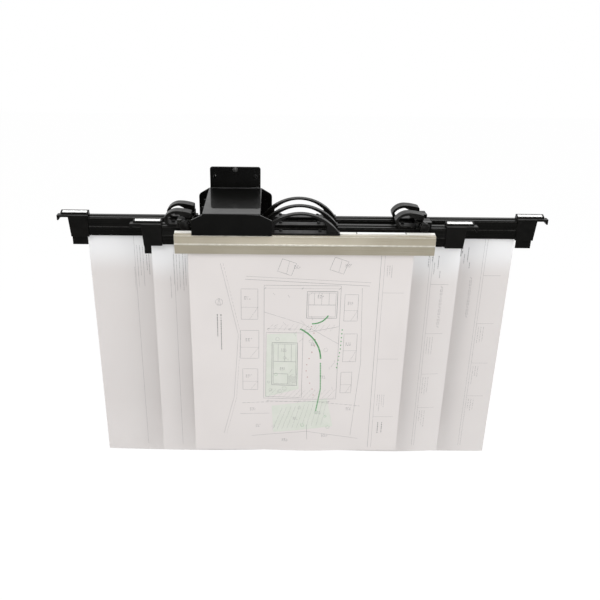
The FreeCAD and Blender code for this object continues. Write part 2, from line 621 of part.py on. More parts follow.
def endCap(label, place, side, inner):
    # Drawn outwards from the cap's inner end, so the right cap mirrors the left one.
    body = subPart(label, f"{place[0]} + {side} * ({inner})", *place[1:])
    start, topEnd, baseEnd, grip, root, tip = along(
        side, "0", "cap_length", "cap_length - cap_taper", "cap_grip", "arm_root", "arm_reach")
    floor = "-bar_height - cap_fit - cap_floor"
    padOutline(body, "XZ", "-cap_front", "cap_rear",
               [(start, floor), (baseEnd, floor), (topEnd, "cap_top"), (start, "cap_top")])
    padOutline(body, "XZ", "-arm_front", "arm_rear",
               [(root, "cap_top"), (tip, "cap_top"), (tip, "-tooth_drop"),
                (f"{tip} - {side} * tooth_width", "-tooth_drop"),
                (f"{tip} - {side} * tooth_root", "-arm_under"), (root, "-arm_under")])
    tabStart, tabEnd = along(side, "tab_inset", "tab_inset + tab_width")
    padOutline(body, "XZ", "tab_near", "tab_near + tab_gauge", rectangle(
        tabStart, tabEnd, "-bar_height - tab_drop", "-bar_height - cap_fit"))
    low, high = ("0", "tray_length") if side > 0 else ("-tray_length", "0")
    padOutline(body, "YZ", low, high,
               [("0", "cap_top - tray_sink"), ("tray_depth", "cap_top - tray_sink"),
                ("tray_depth", "tray_high"), ("0", "tray_low")])
    for cheek in ("0", "tray_length - cheek_thick"):
        low, high = ((cheek, f"{cheek} + cheek_thick") if side > 0
                     else (f"-({cheek} + cheek_thick)", f"-({cheek})"))
        padOutline(body, "YZ", low, high,
                   [("0", "tray_low - tray_sink"), ("tray_depth", "tray_high - tray_sink"),
                    ("tray_depth", "tray_high + cheek_rise"), ("0", "tray_low + cheek_rise")])
    cavityFront = "pivot_reach + socket_diameter / 2 + socket_wall + cavity_gap"
    cutOutline(body, "XZ", f"-({cavityFront})", "rear_reach + cap_fit", rectangle(
        f"{-side * past}", grip, "-bar_height - cap_fit", "cap_fit"))
    slitEnd = along(side, f"cap_length + {past}")[0]
    cutOutline(body, "XZ", "-slit_width / 2", "slit_width / 2", rectangle(
        f"{-side * past}", slitEnd, f"{floor} - {past}", f"{sheetTop} + slit_headroom"))


def labelCard(label, place, side, inner):
    body = subPart(label, f"{place[0]} + {side} * ({inner})", *place[1:])
    slope = "((tray_high - tray_low) / tray_depth)"
    near = "label_margin"
    far = "(tray_depth - label_margin)"
    start = "cheek_thick + label_margin"
    end = "tray_length - cheek_thick - label_margin"
    low, high = (start, end) if side > 0 else (f"-({end})", f"-({start})")
    padOutline(body, "YZ", low, high,
               [(near, f"tray_low + {slope} * {near}"), (far, f"tray_low + {slope} * {far}"),
                (far, f"tray_low + {slope} * {far} + label_gauge"),
                (near, f"tray_low + {slope} * {near} + label_gauge")])


# ---------------------------------------------------------------- the whole rack

wallPlate()
hood()
supportRod("left_support_rod", -1)
supportRod("right_support_rod", 1)

for number, (name, clampHalf, capped) in enumerate(binders):
    place = (binderMiddle, sheetPlane(number), barTop)
    rearHalf = f"{clampHalf} + cap_grip" if capped else clampHalf
    frontHalf = f"{clampHalf} - cap_gap" if capped else clampHalf
    rearJaw(f"{name}_rear_jaw", place, rearHalf, capped)
    frontJaw(f"{name}_front_jaw", place, frontHalf)
    sheetBundle(f"{name}_sheets", place, f"sheet_{name}", f"shift_{name}", f"hang_{name}")
    handle(f"{name}_handle", place)
    hanger(f"{name}_hanger", place)
    railScrews(f"{name}_rail_screws", place, capped)
    for sideName, side in (("left", -1), ("right", 1)) if capped else ():
        loop(f"{name}_{sideName}_loop", place, side)
        lug(f"{name}_{sideName}_lug", place, side)
        stud(f"{name}_{sideName}_stud", place, side)
        knob(f"{name}_{sideName}_knob", place, side)
        endCap(f"{name}_{sideName}_cap", place, side, clampHalf)
        labelCard(f"{name}_{sideName}_label", place, side, clampHalf)

doc.recompute()
for item in doc.Objects:
    if {"Invalid", "Error"} & set(item.State):
        raise RuntimeError(f"{item.Name} is not up to date: {item.State}")
for sketch in doc.findObjects("Sketcher::SketchObject"):
    if sketch.solve() != 0:
        raise RuntimeError(f"{sketch.Name} can't be solved")

bodies = doc.findObjects("PartDesign::Body")
for body in bodies:
    volume = 0
    for feature in body.Group:
        if feature.TypeId == "Sketcher::SketchObject":
            continue
        removes = feature.TypeId in ("PartDesign::Pocket", "PartDesign::PolarPattern")
        if (feature.Shape.Volume < volume) != removes:
            raise RuntimeError(f"{feature.Name} changes nothing")
        volume = feature.Shape.Volume
    if body.Shape.isNull() or not body.Shape.isValid():
        raise RuntimeError(f"{body.Label} has no valid shape")

os.makedirs("parts", exist_ok=True)
for body in bodies:
    body.Shape.exportStep(f"parts/{body.Label}.step")
print(len(bodies), "sub-parts written")
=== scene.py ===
import json
import math
import random
import bpy
import bmesh
from mathutils import Matrix, Vector

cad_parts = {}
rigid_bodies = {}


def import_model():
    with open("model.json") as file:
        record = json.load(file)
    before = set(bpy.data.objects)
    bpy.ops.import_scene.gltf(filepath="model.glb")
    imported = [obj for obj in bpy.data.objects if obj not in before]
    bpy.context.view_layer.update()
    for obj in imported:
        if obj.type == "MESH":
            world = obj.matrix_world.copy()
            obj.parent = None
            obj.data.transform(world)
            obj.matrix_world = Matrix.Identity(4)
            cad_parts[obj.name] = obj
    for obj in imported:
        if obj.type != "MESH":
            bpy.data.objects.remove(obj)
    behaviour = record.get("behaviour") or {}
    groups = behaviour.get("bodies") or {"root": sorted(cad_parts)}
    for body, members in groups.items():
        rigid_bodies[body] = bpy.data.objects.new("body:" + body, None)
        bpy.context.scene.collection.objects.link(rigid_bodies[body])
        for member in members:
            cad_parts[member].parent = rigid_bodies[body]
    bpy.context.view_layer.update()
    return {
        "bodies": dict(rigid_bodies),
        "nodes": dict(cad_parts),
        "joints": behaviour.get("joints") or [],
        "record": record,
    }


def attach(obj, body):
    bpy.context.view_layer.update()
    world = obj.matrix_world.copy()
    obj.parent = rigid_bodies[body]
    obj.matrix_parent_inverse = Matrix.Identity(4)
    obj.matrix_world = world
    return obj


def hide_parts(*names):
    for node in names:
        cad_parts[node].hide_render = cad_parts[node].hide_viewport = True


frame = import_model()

scene = bpy.context.scene
mm = 0.001  # sizes below are millimetres, in the frame of the wall screws
barMiddle = 134
barTop = -64
print("rack loaded:", len(frame["nodes"]), "parts")


# camera and studio

def placeCamera():
    view = {"place": (72.58, -1433.5, 394.6), "pitch": 24.878, "yaw": 0.76, "roll": 0.796,
            "lens": 44.36, "shift": 0.0335}
    pitch, yaw, roll = (math.radians(view[key]) for key in ("pitch", "yaw", "roll"))
    ahead = Vector((math.sin(yaw) * math.cos(pitch), math.cos(yaw) * math.cos(pitch), -math.sin(pitch)))
    level = Vector((math.cos(yaw), -math.sin(yaw), 0))
    upright = level.cross(ahead)
    right = math.cos(roll) * level + math.sin(roll) * upright
    up = math.cos(roll) * upright - math.sin(roll) * level
    camera = bpy.data.objects.new("camera", bpy.data.cameras.new("camera"))
    scene.collection.objects.link(camera)
    turn = Matrix((right, up, -ahead)).transposed().to_4x4()
    camera.matrix_world = Matrix.Translation(Vector(view["place"]) * mm) @ turn
    camera.data.lens = view["lens"]
    camera.data.sensor_width = 36
    camera.data.shift_x = view["shift"]
    camera.data.clip_end = 60
    scene.camera = camera


def addLamp(name, place, aim, size, power):
    lamp = bpy.data.lights.new(name, "AREA")
    lamp.shape = "DISK"
    lamp.size = size
    lamp.energy = power
    holder = bpy.data.objects.new(name, lamp)
    scene.collection.objects.link(holder)
    holder.location = place
    holder.rotation_euler = (Vector(aim) - Vector(place)).to_track_quat("-Z", "Y").to_euler()


def addNode(tree, kind, inputs=None, **settings):
    # inputs maps a socket to a plain value or to the output that feeds it.
    node = tree.nodes.new(kind)
    for name, chosen in settings.items():
        setattr(node, name, chosen)
    for socket, chosen in (inputs or {}).items():
        if isinstance(chosen, bpy.types.NodeSocket):
            tree.links.new(chosen, node.inputs[socket])
        else:
            node.inputs[socket].default_value = chosen
    return node


def larger(tree, first, second):
    return addNode(tree, "ShaderNodeMath", {0: first, 1: second}, operation="MAXIMUM").outputs[0]


def seenWhite(tree, plain, place, dark, pale):
    # Camera and transmission rays meet plain white, other rays the plain shader. Reflections meet
    # white behind the rack and a dim room in front of it, between the two places dark and pale.
    rays = addNode(tree, "ShaderNodeLightPath").outputs
    direct = larger(tree, rays["Is Camera Ray"], rays["Is Transmission Ray"])
    either = larger(tree, direct, rays["Is Glossy Ray"])
    split = addNode(tree, "ShaderNodeSeparateXYZ", {0: place})
    room = addNode(tree, "ShaderNodeMapRange",
                   {"From Min": dark, "From Max": pale, "To Min": 0.05, "To Max": 1,
                    "Value": split.outputs["Y"]}, interpolation_type="SMOOTHSTEP")
    shine = larger(tree, direct, room.outputs["Result"])
    choice = addNode(tree, "ShaderNodeMixShader", {0: either, 1: plain.outputs[0]})
    return choice, shine


def makeStudio():
    studio = {"ambient": 0.52, "floorLevel": -1.6, "floorReach": 9, "floorWhite": 0.93,
              "floorColour": (0.8, 0.8, 0.8, 1), "floorRoughness": 0.9, "floorGlow": (0.12, 0.12, 0.12, 1)}
    world = bpy.data.worlds.new("studio")
    scene.world = world
    world.use_nodes = True
    tree = world.node_tree
    soft = tree.nodes["Background"]
    soft.inputs["Color"].default_value = (1, 1, 1, 1)
    soft.inputs["Strength"].default_value = studio["ambient"]
    around = addNode(tree, "ShaderNodeTexCoord")
    choice, shine = seenWhite(tree, soft, around.outputs["Generated"], -0.4, 0.1)
    white = addNode(tree, "ShaderNodeBackground", {"Color": (1, 1, 1, 1), "Strength": shine})
    tree.links.new(white.outputs[0], choice.inputs[2])
    tree.links.new(choice.outputs[0], tree.nodes["World Output"].inputs["Surface"])

    ground = bpy.data.meshes.new("floor")
    reach = studio["floorReach"]
    ground.from_pydata([(-reach, -reach, 0), (reach, -reach, 0), (reach, reach, 0), (-reach, reach, 0)],
                       [], [(0, 1, 2, 3)])
    ground.transform(Matrix.Translation((0, 0, studio["floorLevel"])))
    floor = bpy.data.objects.new("floor", ground)
    scene.collection.objects.link(floor)
    pale = bpy.data.materials.new("paleFloor")
    pale.use_nodes = True
    tree = pale.node_tree
    shader = tree.nodes["Principled BSDF"]
    shader.inputs["Base Color"].default_value = studio["floorColour"]
    shader.inputs["Roughness"].default_value = studio["floorRoughness"]
    spot = addNode(tree, "ShaderNodeTexCoord")
    choice, shine = seenWhite(tree, shader, spot.outputs["Object"], -1.6, -0.3)
    level = addNode(tree, "ShaderNodeMath", {0: shine, 1: studio["floorWhite"]}, operation="MULTIPLY")
    glow = addNode(tree, "ShaderNodeEmission", {"Strength": level.outputs[0]})
    dim = addNode(tree, "ShaderNodeBsdfDiffuse", {"Color": studio["floorGlow"]})
    both = addNode(tree, "ShaderNodeAddShader", {0: glow.outputs[0], 1: dim.outputs[0]})
    tree.links.new(both.outputs[0], choice.inputs[2])
    tree.links.new(choice.outputs[0], tree.nodes["Material Output"].inputs["Surface"])
    ground.materials.append(pale)

    addLamp("keyLamp", (-1.3, -1.9, 1.7), (0.1, -0.1, -0.25), 1.3, 26)
    addLamp("fillLamp", (2.0, -1.6, 0.7), (0.15, -0.1, -0.25), 1.6, 14)
    addLamp("topLamp", (0.2, 0.1, 1.7), (0.13, -0.1, -0.1), 1.4, 20)
    addLamp("frontLamp", (0.2, -2.6, -0.05), (0.13, -0.1, -0.25), 0.5, 10)


placeCamera()
makeStudio()
scene.view_settings.view_transform = "Standard"
print("camera and studio set")


# finishes

def makeFinish(name, look):
    material = bpy.data.materials.new(name)
    material.use_nodes = True
    tree = material.node_tree
    shader = tree.nodes["Principled BSDF"]
    place = addNode(tree, "ShaderNodeTexCoord").outputs["Object"]
    turn = addNode(tree, "ShaderNodeMapping", {"Scale": look.get("stretch", (1, 1, 1)), "Vector": place})

    def speckle(scale, detail, vector):
        texture = addNode(tree, "ShaderNodeTexNoise", {"Scale": scale, "Detail": detail, "Vector": vector})
        return texture.outputs["Fac"]

    tint = addNode(tree, "ShaderNodeValToRGB", {"Fac": speckle(look["patch"], 3, place)})
    for stop, position, shade in zip(tint.color_ramp.elements, (0.36, 0.66), look["shades"]):
        stop.position = position
        stop.color = (*shade, 1)
    colour = tint.outputs["Color"]
    if "crown" in look:
        # Painted light: paler towards the top of the sheet, just below the clamp bars.
        height = addNode(tree, "ShaderNodeSeparateXYZ", {0: place})
        share = addNode(tree, "ShaderNodeMapRange",
                        {"From Min": look["crownFrom"] * mm, "From Max": look["crownTo"] * mm,
                         "Value": height.outputs["Z"]}, interpolation_type="SMOOTHSTEP")
        blend = addNode(tree, "ShaderNodeMix", {0: share.outputs["Result"], 6: colour,
                                                7: (*look["crown"], 1)}, data_type="RGBA")
        colour = blend.outputs[2]
    tree.links.new(colour, shader.inputs["Base Color"])

    polish = addNode(tree, "ShaderNodeMapRange",
                     {"From Min": 0.3, "From Max": 0.7, "To Min": look["roughness"][0],
                      "To Max": look["roughness"][1],
                      "Value": speckle(look["wear"], 4, turn.outputs["Vector"])})
    tree.links.new(polish.outputs["Result"], shader.inputs["Roughness"])
    bump = addNode(tree, "ShaderNodeBump",
                   {"Strength": look["relief"], "Distance": look.get("depth", 0.02) * mm,
                    "Height": speckle(look["grain"], 2, turn.outputs["Vector"])})
    tree.links.new(bump.outputs["Normal"], shader.inputs["Normal"])

    for socket, word, usual in (("Metallic", "metallic", 0), ("Specular IOR Level", "specular", 0.5),
                                ("Coat Weight", "coat", 0), ("Coat Roughness", "coatRoughness", 0.1),
                                ("Sheen Weight", "sheen", 0)):
        shader.inputs[socket].default_value = look.get(word, usual)
    return material


# what the finishes of one family share; the shades of a finish are its darker patches and its body
anodised = {"stretch": (4, 1100, 1100), "patch": 22, "wear": 1, "grain": 1.5}
champagne = {"stretch": (3, 1000, 1000), "patch": 14, "wear": 1, "grain": 1.6, "metallic": 0.15,
             "coat": 0.2, "coatRoughness": 0.2}
blackened = {"patch": 400, "wear": 500, "roughness": (0.3, 0.45), "grain": 1500, "relief": 0.15,
             "depth": 0.03}
plainPaper = {"patch": 5, "wear": 40, "roughness": (0.62, 0.76), "grain": 1200, "relief": 0.35,
              "depth": 0.05, "specular": 0.25, "sheen": 0.08}
printed = {"patch": 120, "wear": 200, "roughness": (0.45, 0.6), "grain": 1600, "relief": 0.2}
finishes = {
    "powderBlack": {"shades": ((0.0018, 0.0018, 0.0016), (0.0032, 0.0032, 0.0028)), "patch": 35,
                    "wear": 60, "roughness": (0.32, 0.42), "grain": 700, "relief": 0.04,
                    "depth": 0.04, "specular": 0.06, "coat": 0.65, "coatRoughness": 0.04},
    # the Edge finishes and the screw and fixing rims are lighter than their faces: a little wear and a
    # painted highlight on the bevels
    "powderEdge": {"shades": ((0.045, 0.045, 0.04), (0.11, 0.11, 0.10)), "patch": 240,
                   "wear": 160, "roughness": (0.16, 0.3), "grain": 900, "relief": 0.12, "depth": 0.04},
    "anodisedBlack": {**anodised, "shades": ((0.0045, 0.0045, 0.004), (0.007, 0.0068, 0.006)),
                      "roughness": (0.2, 0.34), "relief": 0.18, "depth": 0.03, "metallic": 0.05,
                      "specular": 0.17},
    "anodisedBlackEdge": {**anodised, "shades": ((0.018, 0.017, 0.016), (0.05, 0.048, 0.045)),
                          "patch": 160, "roughness": (0.26, 0.38), "relief": 0.1, "metallic": 0.3,
                          "specular": 0.3},
    "anodisedChampagne": {**champagne, "shades": ((0.397, 0.356, 0.272), (0.445, 0.404, 0.316)),
                          "wear": 2, "roughness": (0.26, 0.34), "grain": 2.6, "relief": 0.08},
    "anodisedChampagneEdge": {**champagne, "shades": ((0.66, 0.63, 0.55), (0.80, 0.78, 0.70)),
                              "patch": 120, "roughness": (0.2, 0.34), "relief": 0.1, "metallic": 0.2},
    # a paler copy of the champagne finish: painted light for the lit top of the shortest bar's rear jaw
    "champagnePaintedLight": {**champagne, "shades": ((0.80, 0.79, 0.75), (0.86, 0.85, 0.81)),
                     "roughness": (0.22, 0.36), "relief": 0.2, "depth": 0.03},
    "blackPlastic": {"shades": ((0.003, 0.0028, 0.0024), (0.0048, 0.0044, 0.0036)), "patch": 50,
                     "wear": 120, "roughness": (0.3, 0.44), "grain": 1600, "relief": 0.3,
                     "depth": 0.05, "specular": 0.25},
    "blackPlasticEdge": {"shades": ((0.012, 0.011, 0.01), (0.03, 0.028, 0.025)), "patch": 260,
                         "wear": 200, "roughness": (0.26, 0.38), "grain": 1600, "relief": 0.2,
                         "depth": 0.04, "specular": 0.3},
    "screwBlack": {**blackened, "shades": ((0.006, 0.006, 0.006), (0.010, 0.010, 0.010)),
                   "roughness": (0.34, 0.5), "specular": 0.18},
    "screwRim": {**blackened, "shades": ((0.016, 0.016, 0.016), (0.03, 0.03, 0.03)),
                 "specular": 0.25},
    "fixingSteel": {**blackened, "shades": ((0.035, 0.035, 0.034), (0.06, 0.06, 0.058)),
                    "metallic": 0.3, "specular": 0.4},
    "fixingRim": {**blackened, "shades": ((0.06, 0.06, 0.06), (0.10, 0.10, 0.095)),
                  "metallic": 0.3, "specular": 0.4},
    "zincSteel": {"shades": ((0.5, 0.5, 0.52), (0.62, 0.62, 0.63)), "patch": 130,
                  "wear": 220, "roughness": (0.24, 0.42), "grain": 900, "relief": 0.12,
                  "depth": 0.03, "metallic": 1},
    "labelCard": {"shades": ((0.84, 0.84, 0.83), (0.88, 0.88, 0.875)), "patch": 300,
                  "wear": 300, "roughness": (0.5, 0.65), "grain": 1800, "relief": 0.25,
                  "depth": 0.04, "sheen": 0.05},
    "labelRim": {"shades": ((0.22, 0.22, 0.23), (0.32, 0.32, 0.33)), "patch": 300,
                 "wear": 300, "roughness": (0.4, 0.55), "grain": 1500, "relief": 0.2, "depth": 0.03},
    "drawingPaper": {**plainPaper, "shades": ((0.742, 0.703, 0.687), (0.775, 0.735, 0.718))},
    # paper with painted light: paler towards the top of the sheet, just below the clamp bars
    "paperPaintedPaleTop": {**plainPaper, "shades": ((0.735, 0.70, 0.685), (0.765, 0.73, 0.715)),
                  "crown": (0.90, 0.90, 0.905), "crownFrom": -190, "crownTo": -125},
    "inkGrey": {**printed, "shades": ((0.17, 0.165, 0.17), (0.25, 0.245, 0.25)), "patch": 90,
                "roughness": (0.5, 0.65)},
    "inkDark": {**printed, "shades": ((0.07, 0.065, 0.07), (0.12, 0.115, 0.12)), "patch": 90},
    "inkGreen": {**printed, "shades": ((0.02, 0.28, 0.05), (0.03, 0.36, 0.07))},
    "inkWash": {**printed, "shades": ((0.685, 0.71, 0.64), (0.72, 0.735, 0.675)), "patch": 60,
                "roughness": (0.6, 0.75), "grain": 1200, "relief": 0.25},
    "inkRed": {**printed, "shades": ((0.34, 0.06, 0.05), (0.42, 0.08, 0.07))},
}
finish = {name: makeFinish(name, look) for name, look in finishes.items()}
# a face and its bevelled edges, whose own finish is mostly lighter: a little wear and a painted highlight
powder = ("powderBlack", "powderEdge")
plastic = ("blackPlastic", "blackPlasticEdge")
label = ("labelCard", "labelRim")
print("finishes mixed:", len(finish))


# mesh tools

def bake(holder):
    bpy.context.view_layer.update()
    graph = bpy.context.evaluated_depsgraph_get()
    mesh = bpy.data.meshes.new_from_object(holder.evaluated_get(graph))
    bpy.data.objects.remove(holder)
    return mesh


def hold(mesh, name="holder"):
    holder = bpy.data.objects.new(name, mesh)
    scene.collection.objects.link(holder)
    return holder


def weld(mesh, flatten=0.0, recalculate=False):
    shape = bmesh.new()
    shape.from_mesh(mesh)
    bmesh.ops.remove_doubles(shape, verts=shape.verts, dist=0.002 * mm)
    if flatten:
        bmesh.ops.dissolve_limit(shape, angle_limit=math.radians(flatten), verts=shape.verts,
                                 edges=shape.edges)
    if recalculate:
        bmesh.ops.recalc_face_normals(shape, faces=shape.faces)
    shape.to_mesh(mesh)
    shape.free()
    return mesh


def shapeOf(points, faces):
    mesh = bpy.data.meshes.new("shape")
    mesh.from_pydata([(x * mm, y * mm, z * mm) for x, y, z in points], [], faces)
    return mesh


def slab(outlines, low, high, plane="XZ"):
    # Plates cut to 2D outlines; an outline inside another one is a hole.
    curve = bpy.data.curves.new("outline", "CURVE")
    curve.dimensions = "2D"
    curve.fill_mode = "BOTH"
    curve.extrude = (high - low) / 2
    for outline in outlines:
        spline = curve.splines.new("POLY")
        spline.points.add(len(outline) - 1)
        for point, (across, up) in zip(spline.points, outline):
            point.co = (across, up, 0, 1)
        spline.use_cyclic_u = True
    mesh = bake(hold(curve))
    middle = (low + high) / 2
    turns = {"XZ": ((1, 0, 0, 0), (0, 0, -1, middle), (0, 1, 0, 0)),
             "YZ": ((0, 0, 1, middle), (1, 0, 0, 0), (0, 1, 0, 0)),
             "XY": ((1, 0, 0, 0), (0, 1, 0, 0), (0, 0, 1, middle))}
    mesh.transform(Matrix.Diagonal((mm, mm, mm, 1)) @ Matrix((*turns[plane], (0, 0, 0, 1))))
    return weld(mesh, 0.5, True)


def rounded(corners, radii, steps=5):
    # Corners of a closed outline, each with its own rounding radius.
    outline = []
    count = len(corners)
    for index, corner in enumerate(corners):
        radius = radii[index] if hasattr(radii, "__len__") else radii
        here = Vector(corner)
        before = Vector(corners[index - 1]) - here
        after = Vector(corners[(index + 1) % count]) - here
        if radius <= 0:
            outline.append(tuple(here))
            continue
        half = before.angle(after) / 2
        reach = min(radius / math.tan(half), before.length * 0.49, after.length * 0.49)
        radius = reach * math.tan(half)
        first = here + before.normalized() * reach
        last = here + after.normalized() * reach
        middle = here + (before.normalized() + after.normalized()).normalized() * (radius / math.sin(half))
        start, end = first - middle, last - middle
        sweep = start.angle_signed(end) if start.length and end.length else 0
        for step in range(steps + 1):
            part = -sweep * step / steps
            outline.append((middle.x + start.x * math.cos(part) - start.y * math.sin(part),
                            middle.y + start.x * math.sin(part) + start.y * math.cos(part)))
    return outline


def ring(centre, radius, start=0, end=360, steps=24):
    # A whole turn leaves out its last point, and an arc keeps it.
    count = steps if abs(end - start) == 360 else steps + 1
    turns = [math.radians(start + (end - start) * step / steps) for step in range(count)]
    return [(centre[0] + radius * math.cos(turn), centre[1] + radius * math.sin(turn)) for turn in turns]


def rectangle(left, right, low, high):
    return [(left, low), (right, low), (right, high), (left, high)]


def gridFaces(rows, columns, base=0):
    corners = [base + row * (columns + 1) + column for row in range(rows) for column in range(columns)]
    return [(corner, corner + columns + 1, corner + columns + 2, corner + 1) for corner in corners]


def crossOutline(half, reach, across=0, level=0):
    # Cross recess of a screw head.
    arm = [(half, half), (reach, half), (reach, -half), (half, -half), (half, -reach), (-half, -reach)]
    return [(across + sign * x, level + sign * z) for sign in (1, -1) for x, z in arm]


def smoothed(mesh, names):
    # Without names the mesh keeps the finish that its node tree gave it.
    if names:
        mesh.materials.clear()
    for name in names:
        mesh.materials.append(finish[name])
    mesh.polygons.foreach_set("use_smooth", [True] * len(mesh.polygons))
    return mesh


def painted(mesh, names, sharp=30):
    smoothed(mesh, names).set_sharp_from_angle(angle=math.radians(sharp))
    return mesh


def softened(mesh, width, names, steps=3, angle=28):
    # Bevelled edges in a finish of their own, mostly lighter than the face: a little wear and a painted
    # highlight along the edges.
    smoothed(mesh, names).polygons.foreach_set("material_index", [0] * len(mesh.polygons))
    holder = hold(mesh)
    bevel = holder.modifiers.new("bevel", "BEVEL")
    bevel.width = width * mm
    bevel.segments = steps
    bevel.limit_method = "ANGLE"
    bevel.angle_limit = math.radians(angle)
    bevel.material = 1
    normals = holder.modifiers.new("normals", "WEIGHTED_NORMAL")
    normals.keep_sharp = True
    return bake(holder)


def carved(mesh, cutter):
    holder, tool = hold(mesh), hold(cutter)
    cut = holder.modifiers.new("cut", "BOOLEAN")
    cut.operation = "DIFFERENCE"
    cut.solver = "EXACT"
    cut.object = tool
    result = bake(holder)
    bpy.data.objects.remove(tool)
    return weld(result, 0.5)


def turnedShape(profile, centre, axis="Y", steps=40):
    # profile is (place along the axis, radius); a radius of 0 closes an end.
    points, faces, rings = [], [], []
    for along, radius in profile:
        count = steps if radius else 1
        rings.append(list(range(len(points), len(points) + count)))
        points += [(x, y, along) for x, y in ring((0, 0), radius, steps=steps)[:count]]
    for lower, upper in zip(rings, rings[1:]):
        for step in range(steps):
            corners = [row[turn % len(row)] for row, turn in
                       ((lower, step), (lower, step + 1), (upper, step + 1), (upper, step))]
            faces.append(tuple(dict.fromkeys(corners)))
    mesh = shapeOf(points, faces)
    if axis == "Y":
        mesh.transform(Matrix.Rotation(math.radians(-90), 4, "X"))
    mesh.transform(Matrix.Translation(Vector(centre) * mm))
    return weld(mesh, 0, True)


def addPiece(name, mesh, body, replaced=()):
    piece = hold(mesh, name)
    mesh.name = name
    if replaced:
        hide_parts(*replaced)
    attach(piece, body)
    return piece


def cadCopy(node):
    return weld(frame["nodes"][node].data.copy(), 0.6)


def dressCad(node, ending, edge, names, body):
    # A CAD solid in its own shape, with its edges softened.
    addPiece(f"{node}_{ending}", softened(cadCopy(node), edge, names), body, [node])


def shifted(mesh, x=0, y=0, z=0):
    mesh.transform(Matrix.Translation(Vector((x, y, z)) * mm))
    return mesh


# wall bracket

def roundedCorners(mesh, across, level, radius):
    # Rounds the edges through a plate that stand this far across and near this level.
    shape = bmesh.new()
    shape.from_mesh(mesh)
    edges = []
    for edge in shape.edges:
        start, end = (corner.co / mm for corner in edge.verts)
        through = abs(start.x - end.x) < 0.1 and abs(start.z - end.z) < 0.1
        if through and abs(abs(start.x) - across) < 0.5 and abs(start.z - level) < 3:
            edges.append(edge)
    bmesh.ops.bevel(shape, geom=edges, offset=radius * mm, segments=6, profile=0.5, affect="EDGES",
                    clamp_overlap=True)
    shape.to_mesh(mesh)
    shape.free()
    print("plate corners rounded:", len(edges))
    return mesh


def makeBracket():
    bracket = {"edge": 0.6, "fold": 2.4, "gauge": 2.5, "weld": 1.8, "panelHalf": 52,
               "wingHalf": 73, "panelTop": -24, "shoulder": -36.5, "base": -65.7,
               "plate": -2.5, "front": -166, "upperHalf": 50, "corner": 5}
    edge, fold, gauge, bead, half, wing, top, shoulder, base, wall, front, upper, corner = bracket.values()
    plate = roundedCorners(cadCopy("wall_plate"), wing, shoulder, corner)
    addPiece("wall_plate_coated", softened(plate, edge, powder), "bracket", ["wall_plate"])

    # Folded sheet: one skin through the fold, thickened inwards.
    rows = [(wall, top), (front + fold, top)] + ring((front + fold, top - fold), fold, 105, 180, 5)
    points = [(side, y, z) for y, z in rows for side in (-half, half)]
    last = len(points) - 2
    faces = [(corner, corner + 1, corner + 3, corner + 2) for corner in range(0, last, 2)]
    points += [(-wing, front, shoulder), (-wing, front, base), (wing, front, base), (wing, front, shoulder)]
    faces.append((last, last + 1, last + 5, last + 4, last + 3, last + 2))
    sheet = shapeOf(points, faces)
    sheet.flip_normals()
    holder = hold(sheet)
    thick = holder.modifiers.new("gauge", "SOLIDIFY")
    thick.thickness = gauge * mm
    thick.offset = -1
    thick.use_even_offset = True
    addPiece("hood_folded", softened(bake(holder), edge, powder), "bracket", ["hood"])

    # Fillet where the panel is welded to the wall plate.
    fillet = [(wall, top), (wall, top + bead)] + ring((wall - bead, top + bead), bead, -15, -75, 4)
    fillet = slab([fillet + [(wall - bead, top)]], -upper, upper, "YZ")
    addPiece("panel_weld", painted(fillet, ["powderBlack"]), "bracket")
    print("bracket folded")


def makeWallScrews():
    # Blackened pan heads that hold the plate, and the hanging nail in its slot.
    fixings = {"seat": -2.5, "cross": (0.4, 2),
               "places": (("left_wall_screw", -40, 0, 3.9, 2.5), ("right_wall_screw", 40, 0, 3.9, 2.5),
                          ("hanging_nail", 0, 13.5, 5.1, 2.3))}
    seat = fixings["seat"]
    for name, across, level, head, shank in fixings["places"]:
        body = turnedShape([(-0.05, 0), (-0.05, shank), (seat, shank), (seat, head), (seat - 0.9, head),
                            (seat - 1.7, head - 0.8), (seat - 2.1, head - 2), (seat - 2.1, 0)],
                           (across, 0, level), "Y", 32)
        face = "fixingSteel"
        if name != "hanging_nail":
            face = "powderBlack"
            cross = crossOutline(*fixings["cross"], across, level)
            body = carved(body, slab([cross], seat - 3, seat - 0.9))
        # The rim takes the lighter fixingRim finish, a painted highlight with a little wear.
        addPiece(name, softened(body, 0.25, (face, "fixingRim"), 2, 20), "bracket")


def makeRods():
    rod = {"across": 34, "level": -44, "radius": 4, "neck": 3, "neckHalf": 2, "chamfer": 0.4,
           "planes": (-60, -107, -154), "start": -2.5, "end": -163.5, "washer": 7, "washerThick": 1}
    across, level, radius, neck, half, chamfer, planes, start, end, washer, thick = rod.values()
    profile = [(start, 0), (start, washer), (start - thick, washer), (start - thick, radius)]
    for near, far in ((plane + half, plane - half) for plane in planes):
        profile += [(near + chamfer, radius), (near, radius - chamfer), (near, neck), (far, neck),
                    (far, radius - chamfer), (far - chamfer, radius)]
    for side, sign in (("left", -1), ("right", 1)):
        shape = turnedShape(profile + [(end, radius), (end, 0)], (sign * across, 0, level))
        addPiece(f"{side}_rod_turned", painted(shape, ["zincSteel"]), "bracket",
                 [f"{side}_support_rod"])
    print("support rods turned")


makeBracket()
makeWallScrews()
makeRods()


# clamp bars

def startTree(name, inputs, output):
    tree = bpy.data.node_groups.new(name, "GeometryNodeTree")
    for label, kind in inputs.items():
        tree.interface.new_socket(label, in_out="INPUT", socket_type=f"NodeSocket{kind}")
    tree.interface.new_socket(output, in_out="OUTPUT", socket_type="NodeSocketGeometry")
    return tree, tree.nodes.new("NodeGroupInput").outputs


